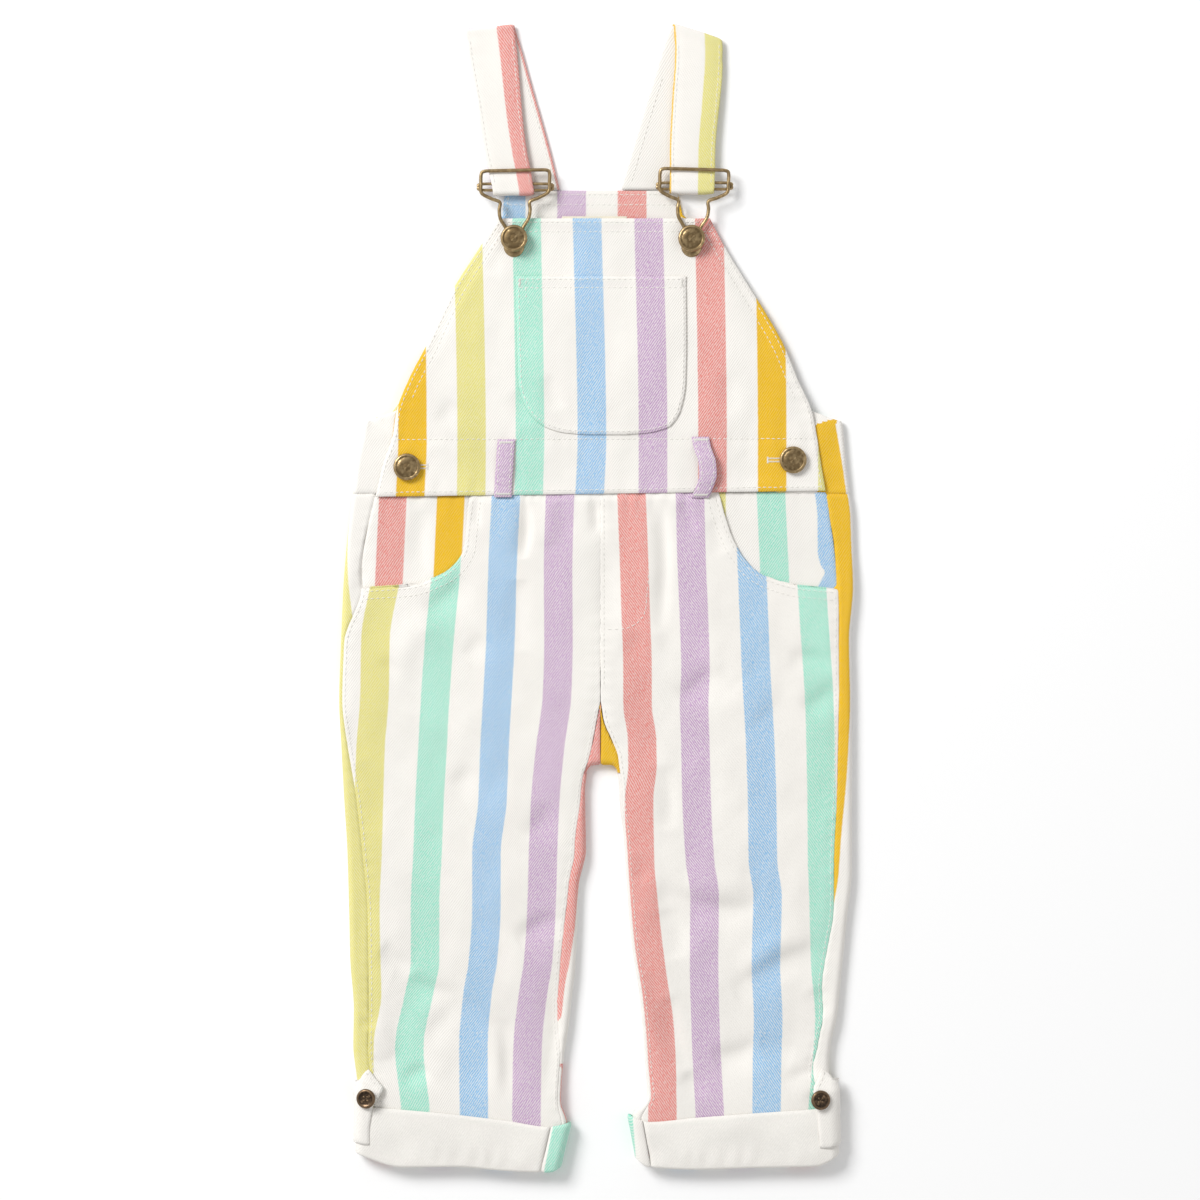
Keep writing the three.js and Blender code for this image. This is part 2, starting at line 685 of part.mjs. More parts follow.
// Round the back: from that seam over the inner side and under the leg to the outer side.
function backCuffPlaces(leg) {
  const places = [];
  const width = Math.abs(leg.cuffSides.outerTop - leg.cuffSides.innerTop) - CUFF_HEIGHT;
  const seamShare = (leg.cuffSeam - CUFF_HEIGHT / 2) / width;
  places.push({ end: "inner", angle: UP, across: seamShare });
  for (let k = 0; k <= 6; k++) places.push({ end: "inner", angle: UP - (Math.PI * k) / 6 });
  for (let k = 1; k <= 5; k++) places.push({ end: "inner", angle: -UP, across: k / 5 });
  for (let k = 1; k <= 3; k++) places.push({ end: "outer", angle: -UP + ((UP - 0.08) * k) / 3 });
  return places;
}

const TAB_GAP = 0.5; // the tab clears the facets of the cuff's side

// The tab that holds a turn-up: a strip over the cuff with its pointed end on the leg above. Its
// width is measured on top from the leg's outer side.
function cuffTab(leg) {
  const roll = CUFF_HEIGHT / 2;
  const angles = [0.25, 0.8, UP];
  const outer = [];
  const inner = [];
  for (const row of leg.tab) {
    const out = [];
    const into = [];
    for (const angle of [...angles, null]) {
      const place = { end: "outer", angle: angle ?? UP };
      const lifted = (extra) => {
        const base = cuffPoint(leg, place, row.share, -TAB_GAP - extra, 0);
        if (angle === null) base.x -= leg.side * (row.width - roll);
        base.y += row.above;
        return base;
      };
      out.push(lifted(THIN_WALL));
      into.push(lifted(0));
    }
    outer.push(out);
    inner.push(into);
  }
  return wallBetween(outer, inner);
}

// Upper body

// Top surface of the bib front at a place.
function bibTop(x, y) {
  const height = mix(LEG_HEIGHT, BIB_TOP_HEIGHT, smoothstep(118, 205, y));
  const edge = Math.min(x - lookUp(BIB, "y", y, "right"), lookUp(BIB, "y", y, "left") - x);
  const droop = y < 112 ? 0 : 0.9 * (1 - smoothstep(0, 11, edge)) * smoothstep(112, 140, y);
  return height - droop + foldHeight(x, y) * smoothstep(2, 16, edge) * smoothstep(98, 125, y) * 0.6;
}

const BIB_SHARES = [0, 0.04, 0.12, 0.25, 0.4, 0.55, 0.7, 0.84, 0.95, 1];

function bibFront() {
  const levels = [58, 75, 92, 106, 118, 130, 143.9, 161, 177, 190, 203, 216.3];
  const grid = levels.map((level, i) =>
    BIB_SHARES.map((share) => {
      const x = mix(lookUp(BIB, "y", level, "right"), lookUp(BIB, "y", level, "left"), share);
      const y = i === 0 ? waistY(x) + GAP / 2 : level;
      return new THREE.Vector3(x, y, bibTop(x, level));
    }),
  );
  return wallBelow(grid, WALL);
}

function patchPocket() {
  const shares = [0, 0.12, 0.3, 0.5, 0.7, 0.88, 1];
  const levels = [92.9, 94.3, 98.4, 108, 122, 133, 144, 164, 183.3];
  const grid = levels.map((level) =>
    shares.map((share) => {
      const x = PATCH_X + mix(lookUp(PATCH, "y", level, "right"), lookUp(PATCH, "y", level, "left"), share);
      return new THREE.Vector3(x, level, bibTop(x, level) + 2 * GAP + THIN_WALL);
    }),
  );
  return wallBelow(grid, THIN_WALL);
}

// One row of the upper back: wrapped right side, floor, wrapped left side.
function upperBackRow(row, topRow) {
  const roll = SIDE_HEIGHT / 2;
  const outer = [];
  const inner = [];
  const add = (x, y, z, ix, iz) => {
    outer.push(new THREE.Vector3(x, y, z));
    inner.push(new THREE.Vector3(ix, y, iz));
  };
  const climb = (away) => (topRow ? Math.min(WRAP_CLIMB, WRAP_SLOPE * away) : 0);
  const side = (sign, edge, forward) => {
    const steps = [];
    for (const away of [BACK_WRAP, WRAP_BEND]) {
      const x = edge - sign * away;
      steps.push([x, row.y + climb(away), SIDE_HEIGHT, x, SIDE_HEIGHT - WALL]);
    }
    for (let k = 0; k <= 5; k++) {
      const angle = UP - (Math.PI * k) / 5;
      const cx = edge - sign * roll;
      const cos = sign * Math.cos(angle);
      const sin = Math.sin(angle);
      const small = roll - WALL;
      steps.push([cx + roll * cos, row.y, roll + roll * sin, cx + small * cos, roll + small * sin]);
    }
    for (const step of forward ? steps : steps.reverse()) {
      if (row.wrap || step === steps[forward ? steps.length - 1 : 0]) add(...step);
      else {
        outer.push(null);
        inner.push(null);
      }
    }
  };
  side(-1, row.wrap ? row.right : row.right - roll, true);
  const from = outer[outer.length - 1].x;
  const to = row.wrap ? row.left - roll : row.left;
  for (let k = 1; k < 8; k++) {
    const x = mix(from, to, k / 8);
    add(x, row.y, 0, x, WALL);
  }
  side(1, row.wrap ? row.left : row.left + roll, false);
  return { outer, inner };
}

function upperBack() {
  const rows = BACK.map((row, i) => upperBackRow(row, row.wrap && !BACK[i + 1].wrap));
  for (const grid of ["outer", "inner"]) {
    for (const p of rows[0][grid]) p.y = waistY(p.x) + GAP / 2;
  }
  return wallBetween(rows.map((row) => row.outer), rows.map((row) => row.inner));
}

function backLabel() {
  const grid = [196, 205, 214.8].map((y) => [-27, 0, 17].map((x) => new THREE.Vector3(x, y, WALL + GAP + 1)));
  return wallBelow(grid, 1);
}

// Belt loops: a straight one and one that has puffed up and bent.
const LOOPS = [
  {
    name: "right",
    rows: [
      { y: 57.2, x: -53.6, rise: 0 },
      { y: 66, x: -53.3, rise: 0.2 },
      { y: 75, x: -52.7, rise: 0.4 },
      { y: 84, x: -52.1, rise: 0.2 },
      { y: 90.2, x: -51.6, rise: 0 },
    ],
  },
  {
    name: "left",
    rows: [
      { y: 56.6, x: 58.6, rise: 0 },
      { y: 62, x: 61, rise: 1.6 },
      { y: 70, x: 63.2, rise: 3 },
      { y: 78, x: 62.6, rise: 3 },
      { y: 85, x: 60.2, rise: 1.4 },
      { y: 91.8, x: 58.8, rise: 0 },
    ],
  },
];
const LOOP_WIDTH = 9.8;

function beltLoop(loop) {
  const grid = loop.rows.map((row) =>
    [-0.5, 0, 0.5].map(
      (share) =>
        new THREE.Vector3(row.x + share * LOOP_WIDTH, row.y, LEG_HEIGHT + 2 * GAP + THIN_WALL + row.rise),
    ),
  );
  return wallBelow(grid, THIN_WALL);
}

// Shoulder straps: up the back, folded over at the shoulder, down to the buckle and back.
const STRAPS = [
  {
    name: "right",
    back: [
      { y: 232.8, right: -49, left: -21.3 },
      { y: 257, right: -55.2, left: -27.4 },
      { y: 289, right: -65, left: -36.5 },
      { y: 313, right: -71.8, left: -43.6 },
      { y: 323.8, right: -74.6, left: -47 },
    ],
    front: [
      { y: 324, right: -75, left: -47.4 },
      { y: 313, right: -73.8, left: -45.8 },
      { y: 277, right: -67.8, left: -42.8 },
      { y: 253, right: -64, left: -39.4 },
      { y: 243, right: -61.6, left: -37.7 },
      { y: 236, right: -60.2, left: -36.6 },
      { y: 231.9, right: -59.4, left: -36 },
    ],
    foldSlope: 0.1,
  },
  {
    name: "left",
    back: [
      { y: 232.8, right: 13.8, left: 42 },
      { y: 262, right: 22.4, left: 49.6 },
      { y: 289, right: 30.4, left: 56.8 },
      { y: 313, right: 39, left: 65.4 },
      { y: 320.4, right: 42.8, left: 69.6 },
    ],
    front: [
      { y: 320.6, right: 44, left: 71.6 },
      { y: 310, right: 44.6, left: 71.6 },
      { y: 285, right: 43, left: 70.1 },
      { y: 253, right: 41.6, left: 67.2 },
      { y: 243, right: 41.6, left: 67 },
      { y: 236, right: 41.6, left: 66.8 },
      { y: 232.5, right: 41.6, left: 66.7 },
    ],
    foldSlope: -0.14,
  },
];
const STRAP_TOP = [
  { y: 324, z: 3.9 },
  { y: 262, z: 5.3 },
  { y: 244, z: 5.6 },
  { y: 238, z: 7.4 },
  { y: 232, z: 7.4 },
];
const STRAP_END_Y = 246; // the strap's free end, folded up behind the slider
const STRAP_END_TOP = 3.3;

function shoulderStrap(strap) {
  const outer = [];
  const inner = [];
  const addRow = (row, y, z, innerY, innerZ) => {
    const middle = (row.right + row.left) / 2;
    const slant = (x, at) => at + strap.foldSlope * (x - middle) * smoothstep(290, 320, at);
    const xs = [0, 0.5, 1].map((share) => mix(row.right, row.left, share));
    outer.push(xs.map((x) => new THREE.Vector3(x, slant(x, y), z)));
    inner.push(xs.map((x) => new THREE.Vector3(x, slant(x, innerY), innerZ)));
  };
  for (const row of strap.back) addRow(row, row.y, 0, row.y, WALL);
  const fold = strap.front[0];
  const foldTop = lookUp(STRAP_TOP, "y", fold.y, "z");
  const foldRoll = foldTop / 2;
  for (let k = 1; k < 5; k++) {
    const angle = -UP + (Math.PI * k) / 5;
    const share = k / 5;
    const last = strap.back[strap.back.length - 1];
    const row = { right: mix(last.right, fold.right, share), left: mix(last.left, fold.left, share) };
    const small = foldRoll - WALL;
    addRow(
      row,
      fold.y + foldRoll * Math.cos(angle),
      foldRoll + foldRoll * Math.sin(angle),
      fold.y + small * Math.cos(angle),
      foldRoll + small * Math.sin(angle),
    );
  }
  for (const row of strap.front) {
    const z = lookUp(STRAP_TOP, "y", row.y, "z");
    addRow(row, row.y, z, row.y, z - WALL);
  }
  const end = strap.front[strap.front.length - 1];
  const endTop = lookUp(STRAP_TOP, "y", end.y, "z");
  const low = STRAP_END_TOP - WALL;
  const middle = (endTop + low) / 2;
  const roll = (endTop - low) / 2;
  for (let k = 1; k < 5; k++) {
    const angle = UP - (Math.PI * k) / 5;
    const small = roll - WALL;
    addRow(
      end,
      end.y - roll * Math.cos(angle),
      middle + roll * Math.sin(angle),
      end.y - small * Math.cos(angle),
      middle + small * Math.sin(angle),
    );
  }
  const shift = (end.right - strap.front[3].right) / (end.y - strap.front[3].y);
  for (const y of [end.y, STRAP_END_Y]) {
    const move = shift * (y - end.y);
    const row = { right: end.right + move, left: end.left + move };
    addRow(row, y, low, y, STRAP_END_TOP);
  }
  return wallBetween(outer, inner);
}

// Metal parts

// A closed ring of wire along a path that returns to its start.
function wireRing(path, radius, sides) {
  const curve = new THREE.CatmullRomCurve3(path, true, "centripetal");
  const steps = path.length * 2;
  const points = [];
  const faces = [];
  for (let i = 0; i < steps; i++) {
    const at = curve.getPoint(i / steps);
    const along = curve.getTangent(i / steps);
    const across = new THREE.Vector3(0, 0, 1).cross(along).normalize();
    const up = along.clone().cross(across);
    for (let j = 0; j < sides; j++) {
      const angle = (2 * Math.PI * j) / sides;
      const side = at.clone().addScaledVector(across, radius * Math.cos(angle));
      points.push(side.addScaledVector(up, radius * Math.sin(angle)));
    }
  }
  for (let i = 0; i < steps; i++) {
    for (let j = 0; j < sides; j++) {
      const a = i * sides + j;
      const b = i * sides + ((j + 1) % sides);
      const c = ((i + 1) % steps) * sides + j;
      const d = ((i + 1) % steps) * sides + ((j + 1) % sides);
      faces.push([a, b, d], [a, d, c]);
    }
  }
  return outwardGeometry(points, faces);
}

const WIRE = 1; // radius of the frame's wire
const BUCKLE_Z = 7.1;
const SLIDER_Z = 4.6;
// The slider's ring: how far its two long sides lie below the frame's top bar, half its width, how
// far its ends bulge, and its wire's radius.
const SLIDER = { high: 7.6, low: 11, half: 19, bulge: 2, wire: 0.85 };
const BUCKLES = [
  { name: "right", x: -46.5, barY: 243.4, buttonX: -47.3, buttonY: 204.6, lean: 0.02 },
  { name: "left", x: 55.6, barY: 244, buttonX: 53.9, buttonY: 204.6, lean: -0.03 },
];
// Buckle frame: half of its wire, as distance out from its middle line and down from its top bar.
const FRAME_HALF = [
  { out: 12, down: 0 },
  { out: 18, down: 0.3 },
  { out: 19.5, down: 2.2 },
  { out: 19.5, down: 7.5 },
  { out: 19, down: 12.6 },
  { out: 13.6, down: 15.8 },
  { out: 8.6, down: 18 },
  { out: 8.8, down: 22.5 },
  { out: 8, down: 27.5 },
  { out: 4.8, down: 33 },
  { out: 3.7, down: 38 },
  { out: 3.4, down: 42 },
];
const LOOP_FOOT = 44.5; // how far below the top bar the wire turns round the button's neck

function buckleFrame(buckle) {
  const place = (sign, point) => {
    const y = buckle.barY - point.down;
    const x = buckle.x + sign * point.out + (point.down / LOOP_FOOT) * (buckle.buttonX - buckle.x);
    return new THREE.Vector3(x, y + sign * point.out * buckle.lean, BUCKLE_Z);
  };
  const half = [...FRAME_HALF];
  const path = [
    ...half.map((point) => place(1, point)),
    place(1, { out: 0, down: LOOP_FOOT }),
    ...half.map((point) => place(-1, point)).reverse(),
  ];
  return wireRing(path, WIRE, 8);
}

function buckleSlider(buckle) {
  const high = buckle.barY - SLIDER.high;
  const low = buckle.barY - SLIDER.low;
  const middle = (high + low) / 2;
  const half = SLIDER.half;
  const path = [
    new THREE.Vector3(buckle.x, high, SLIDER_Z),
    new THREE.Vector3(buckle.x + half, high, SLIDER_Z),
    new THREE.Vector3(buckle.x + half + SLIDER.bulge, middle, SLIDER_Z),
    new THREE.Vector3(buckle.x + half, low, SLIDER_Z),
    new THREE.Vector3(buckle.x, low, SLIDER_Z),
    new THREE.Vector3(buckle.x - half, low, SLIDER_Z),
    new THREE.Vector3(buckle.x - half - SLIDER.bulge, middle, SLIDER_Z),
    new THREE.Vector3(buckle.x - half, high, SLIDER_Z),
  ];
  return wireRing(path, SLIDER.wire, 6);
}

const BUTTON_RADIUS = 7.7;

// Half section of a button's domed cap, as radius and height.
function capProfile(low, high) {
  return [
    [BUTTON_RADIUS - 0.8, low],
    [BUTTON_RADIUS, low + 0.8],
    [BUTTON_RADIUS - 0.5, high - 0.6],
    [4, high],
    [0, high + 0.1],
  ];
}

function turned(profile, segments) {
  const points = profile.map(([r, z]) => new THREE.Vector2(r, z));
  const geometry = new THREE.LatheGeometry(points, segments);
  geometry.rotateX(Math.PI / 2);
  const plain = geometry.clone();
  plain.deleteAttribute("normal");
  plain.deleteAttribute("uv");
  return mergeVertices(plain, 1e-4);
}

// Bib buttons: a riveted base lower down, a neck that leans up to the cap, and the cap.
const BIB_BASE = { radius: 5.7, height: 0.8, y: -4.6 };
const BIB_NECK = { radius: 2.2, low: 0.3, high: 4.5, y: -1.6 };
const BIB_CAP = { low: 3.5, high: 5.9 };

function bibButton(buckle) {
  const { radius, height } = BIB_BASE;
  const base = turned([[0, 0], [radius, 0], [radius, height - 0.2], [0, height]], 20);
  base.translate(0, BIB_BASE.y, 0);
  const neck = new THREE.CylinderGeometry(BIB_NECK.radius, BIB_NECK.radius, BIB_NECK.high - BIB_NECK.low, 12);
  neck.rotateX(Math.PI / 2);
  neck.translate(0, BIB_NECK.y, (BIB_NECK.high + BIB_NECK.low) / 2);
  const cap = turned([[0, BIB_CAP.low], ...capProfile(BIB_CAP.low, BIB_CAP.high)], 24);
  const button = fused([base, neck, cap]);
  button.translate(buckle.buttonX, buckle.buttonY, bibTop(buckle.buttonX, buckle.buttonY) + GAP);
  return button;
}

const SIDE_BUTTONS = [
  { name: "right", x: -108.3, y: 74.4 },
  { name: "left", x: 111.7, y: 78.4 },
];

// A flat button whose neck goes through a buttonhole.
const SIDE_BASE = { radius: 6.4, height: 0.9 };
const SIDE_NECK = { radius: 3, foot: 1.3 };
const SIDE_CAP = { low: 1.5, high: 3.2 };

function sideButton(button) {
  const profile = [
    [0, 0],
    [SIDE_BASE.radius, 0],
    [SIDE_BASE.radius, SIDE_BASE.height],
    [SIDE_NECK.radius, SIDE_NECK.foot],
    [SIDE_NECK.radius, SIDE_CAP.low],
    ...capProfile(SIDE_CAP.low, SIDE_CAP.high),
  ];
  const geometry = turned(profile, 18);
  geometry.translate(button.x, button.y, LEG_HEIGHT + GAP);
  return geometry;
}

const TAB_BUTTON = { radius: 5.6, depth: 1.4, bevel: 0.4, above: 5 };
const HOLES = { count: 4, ring: 1.5, radius: 0.6 };

// Four-hole button on a cuff tab, tilted outwards so that it rises off the tab.
function tabButton(leg) {
  const { radius, depth, bevel, above } = TAB_BUTTON;
  const { x: middle, tilt, rise } = leg.tabButton;
  const circle = 2 * Math.PI;
  const disc = new THREE.Shape().absarc(0, 0, radius, 0, circle);
  for (let k = 0; k < HOLES.count; k++) {
    const angle = (circle * (k + 0.5)) / HOLES.count;
    const x = HOLES.ring * Math.cos(angle);
    const y = HOLES.ring * Math.sin(angle);
    disc.holes.push(new THREE.Path().absarc(x, y, HOLES.radius, 0, circle));
  }
  const geometry = new THREE.ExtrudeGeometry(disc, {
    depth,
    bevelThickness: bevel,
    bevelSize: bevel,
    bevelOffset: -bevel,
    bevelSegments: 1,
    curveSegments: 4,
  });
  const tabTop = CUFF_HEIGHT + TAB_GAP + THIN_WALL;
  geometry.rotateY(leg.side * tilt);
  geometry.translate(middle, lookUp(leg.cuff, "x", middle, "top") + above, tabTop + rise + bevel);
  return geometry;
}

const cloth = (color) => material(color, 0, 0.95);
const metal = (color) => material(color, 0.9, 0.4);

addPiece("bib_front", bibFront(), cloth(COLORS.cloth));
addPiece("upper_back", upperBack(), cloth(COLORS.cloth));
addPiece("bib_pocket", patchPocket(), cloth(COLORS.mint));
addPiece("back_label", backLabel(), cloth(COLORS.cloth));
for (const leg of LEGS) {
  addPiece(`front_leg_${leg.name}`, frontLeg(leg), cloth(COLORS.cloth));
  addPiece(`back_leg_${leg.name}`, backLeg(leg), cloth(COLORS.lime));
  addPiece(`pocket_facing_${leg.name}`, pocketFacing(leg), cloth(COLORS.pink));
  addPiece(`cuff_front_${leg.name}`, cuffPiece(leg, frontCuffPlaces(leg)), cloth(COLORS.cloth));
  addPiece(`cuff_back_${leg.name}`, cuffPiece(leg, backCuffPlaces(leg)), cloth(COLORS.mint));
  addPiece(`cuff_tab_${leg.name}`, cuffTab(leg), cloth(COLORS.cloth));
  addPiece(`tab_button_${leg.name}`, tabButton(leg), metal(COLORS.darkMetal));
}
for (const loop of LOOPS) addPiece(`belt_loop_${loop.name}`, beltLoop(loop), cloth(COLORS.stripe));
for (const strap of STRAPS) addPiece(`strap_${strap.name}`, shoulderStrap(strap), cloth(COLORS.cloth));
for (const buckle of BUCKLES) {
  addPiece(`buckle_${buckle.name}`, buckleFrame(buckle), metal(COLORS.metal));
  addPiece(`slider_${buckle.name}`, buckleSlider(buckle), metal(COLORS.metal));
  addPiece(`bib_button_${buckle.name}`, bibButton(buckle), metal(COLORS.metal));
}
for (const button of SIDE_BUTTONS) {
  addPiece(`side_button_${button.name}`, sideButton(button), metal(COLORS.metal));
}

export default group;
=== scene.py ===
import json
import math
from types import SimpleNamespace

import bmesh
import bpy
import numpy as np
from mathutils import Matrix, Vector
from mathutils.bvhtree import BVHTree

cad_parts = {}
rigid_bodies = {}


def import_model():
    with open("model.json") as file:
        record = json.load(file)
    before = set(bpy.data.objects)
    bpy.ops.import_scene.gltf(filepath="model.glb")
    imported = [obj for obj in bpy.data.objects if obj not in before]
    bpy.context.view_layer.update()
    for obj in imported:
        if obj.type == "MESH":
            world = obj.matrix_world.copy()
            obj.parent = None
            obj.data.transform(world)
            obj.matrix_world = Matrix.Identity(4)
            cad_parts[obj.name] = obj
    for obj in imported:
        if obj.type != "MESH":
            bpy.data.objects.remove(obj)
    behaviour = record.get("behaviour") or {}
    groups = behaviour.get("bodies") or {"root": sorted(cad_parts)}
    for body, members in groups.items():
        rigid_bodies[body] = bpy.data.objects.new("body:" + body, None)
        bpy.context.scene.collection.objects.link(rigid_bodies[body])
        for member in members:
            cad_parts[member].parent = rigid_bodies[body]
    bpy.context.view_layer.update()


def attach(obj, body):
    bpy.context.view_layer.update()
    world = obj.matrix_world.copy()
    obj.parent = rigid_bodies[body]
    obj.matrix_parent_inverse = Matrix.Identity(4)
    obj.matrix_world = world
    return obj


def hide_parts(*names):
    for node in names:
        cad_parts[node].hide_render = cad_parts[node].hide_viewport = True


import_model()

# Child's striped bib overalls, laid flat on their back. Places and sizes are in millimetres in the
# part's own frame: +X is the wearer's left, +Y runs towards the straps, +Z points out of the front.
MM = 0.001
STEP = 1.8  # spacing of the cloth's points
CLOTH = 0.95  # one layer of twill as it shows

LEG_HEIGHT = 6.6
SIDE_HEIGHT = 4.8
GAP = 0.3
CENTRE_X = 2.0
WAIST_Y = 59.2
WAIST_SLOPE = 0.0135
CROTCH_START_Y = -100.0
CROTCH_RADIUS = 4.5
APEX_Y = -60.2
QUARTER = math.pi / 2


def table(names, *rows):
    """Columns by name, from rows written out."""
    return dict(zip(names.split(), np.array(rows, float).T))


OUTER_RIGHT = table(
    "y x seam",
    (58.5, -139.4, 12.8), (38.5, -142, 10.8), (17.4, -143.9, 9.4), (4.3, -144.8, 10.3),
    (-27.1, -146.1, 1.5), (-58.4, -147.1, 1.5), (-84.1, -145.9, 3.6), (-115.4, -144.2, 7),
    (-143.9, -142.5, 8.5), (-179.3, -141.4, 10.5), (-206, -140.8, 10.3), (-235, -138.8, 8.5),
    (-257.9, -139.1, 8.5), (-280, -136.8, 8), (-295, -135.6, 8), (-321, -135.8, 8),
)
INNER_RIGHT = table(
    "y x seam",
    (-100, -5.8, 1.5), (-110.3, -6.8, 2), (-143.9, -6.3, 6.3), (-163.9, -10.3, 5.7),
    (-190.1, -11.4, 7.6), (-211.2, -12.5, 8.5), (-229.4, -14.5, 8), (-242.5, -16, 6.3),
    (-263.6, -19.4, 1.5), (-282, -20.6, 1.5), (-295, -17, 3), (-321, -21, 3),
)
OUTER_LEFT = table(
    "y x seam",
    (60.1, 144.2, 13.7), (47, 145.9, 13.4), (29.9, 146.5, 11.4), (6.6, 147.1, 9.7),
    (-24.2, 144.8, 6.8), (-58.4, 145.4, 7.4), (-92.6, 145.4, 8), (-115.4, 145.4, 8.6),
    (-155.3, 145.4, 10.3), (-182.7, 142.6, 8), (-194.7, 141.4, 9), (-216.9, 139.1, 10.5), (-239.7, 136.8, 8),
    (-256.2, 133.4, 7.4), (-271, 132.2, 9), (-295, 135.5, 9), (-321, 136.2, 9),
)
INNER_LEFT = table(
    "y x seam",
    (-100, 11.6, 1.3), (-105.7, 12.5, 1.3), (-119.4, 13.1, 1.3), (-132.5, 14.8, 1.3),
    (-166.2, 17.1, 1.3), (-195.2, 19.4, 1.5), (-229.4, 24.5, 1.5), (-263.6, 27.4, 1.5),
    (-281, 28.6, 2), (-295, 20.2, 5), (-321, 24, 5),
)

# Centres of the coloured stripes on each panel, by height.
STRIPES_RIGHT = table(
    "y c0 c1 c2 c3",
    (58, -116.9, -83.8, -51.9, -21.1), (16, -119.7, -86.1, -53.9, -22.2),
    (-24, -126.3, -89.8, -55, -22), (-55, -126.8, -92.1, -56.7, -22.8),
    (-86, -129.1, -93.8, -58.4, -26.8), (-117, -130, -95.5, -59.6, -29.6),
    (-146, -130.8, -96.6, -63, -30.8), (-175, -132, -98, -63, -31.6),
    (-207, -131.5, -98, -65, -33.6), (-226, -131, -101.5, -68.1, -36.5),
    (-256, -135.4, -107, -70.4, -39.6), (-290, -135.4, -103.5, -70.1, -40.2),
)
STRIPES_LEFT = table(
    "y c0 c1 c2 c3",
    (58, 19.7, 53, 86.6, 120.5), (21, 21.1, 53.9, 88.1, 121.7), (-13, 22.2, 55.3, 89.5, 123.7),
    (-41, 23.1, 56.1, 90.6, 125.7), (-61, 23.1, 55.3, 91.8, 126.8), (-81, 25.7, 55.9, 92.9, 127.4),
    (-96, 25.9, 56.2, 93.5, 127.7), (-115, 24, 56.7, 94.1, 128), (-150, 24.5, 58.7, 94.6, 128.3),
    (-170, 26.2, 61.3, 97.2, 129), (-210, 30.8, 61, 96.3, 130.2), (-240, 35.3, 61.6, 97.5, 132.5),
    (-266, 37, 62.7, 96.9, 130.8), (-291, 37.3, 64.1, 96.6, 128.5),
)
STRIPES_BIB = table(
    "y c0 c1 c2 c3 c4 c5 c6",
    (216, -107, -73.8, -40.2, -5.7, 29.4, 64.1, 98.3),
    (91, -105.2, -71.5, -38.2, -2.9, 31.9, 65.8, 99.8),
    (58, -106.5, -71.7, -39, -4.2, 31.9, 65.8, 99.8),
)
GOLD, LIME, MINT, BLUE, LILAC, PINK = range(6)
STRIPE_PERIOD = 34.5
STRIPE_HALF = 8.2  # half a coloured stripe
STRIPE_SHARE = 0.24  # that half as a share of the period

RIGHT = SimpleNamespace(
    name="right", side=-1, outer=OUTER_RIGHT, inner=INNER_RIGHT,
    crotch=table("y x", (-60.2, 1.85), (-70, 0), (-80.1, -1.9), (-90, -3.9), (-100, -7.3)),
    pocket=table(
        "y x", (58.5, -72.4), (38.5, -74.7), (28.2, -75.8), (21.4, -79.2), (15.7, -84.9),
        (11.1, -93.5), (7.1, -106.6), (5.2, -134.3),
    ),
    cuff=table(
        "x top hem", (-137.5, -289.5, -317), (-110.5, -291.5, -324.6), (-80.4, -294.4, -324.3),
        (-51.9, -297.8, -326.6), (-27.4, -301.2, -327.5), (-14.5, -299, -321.5),
    ),
    outer_top=-137.5, outer_hem=-137.9, inner_top=-14.2, inner_hem=-20.0,
    cuff_seam=12.0, turned_stripe=(11.0, 10.0),
    tab=table(
        "k share above width",
        (0, 0.8, 0, 8.3), (1, 0.4, 0, 8.3), (2, 0.02, 0, 9.6), (3, 0, 3, 11.4), (4, 0, 8, 15),
        (5, 0, 11.3, 16), (6, 0, 16.8, 11), (7, 0, 21.3, 7.3),
    ),
    tab_button=SimpleNamespace(x=-131.2, tilt=0.25, rise=0.8),
    stripes=STRIPES_RIGHT, first=LIME, way=1,
    edge_stripe=table("y s", (60, 0.76), (58, 0.76), (-80, 1.23), (-330, 1.23)),
    inner_stripe=table(
        "y s", (-100, 4.9), (-150, 4.8), (-170, 4.716), (-189, 4.67), (-206, 4.615), (-222, 4.568),
        (-238, 4.57), (-242, 4.5), (-262, 4.5), (-264.5, 5.19), (-330, 5.17),
    ),
    flap_stripe=5.0,
)
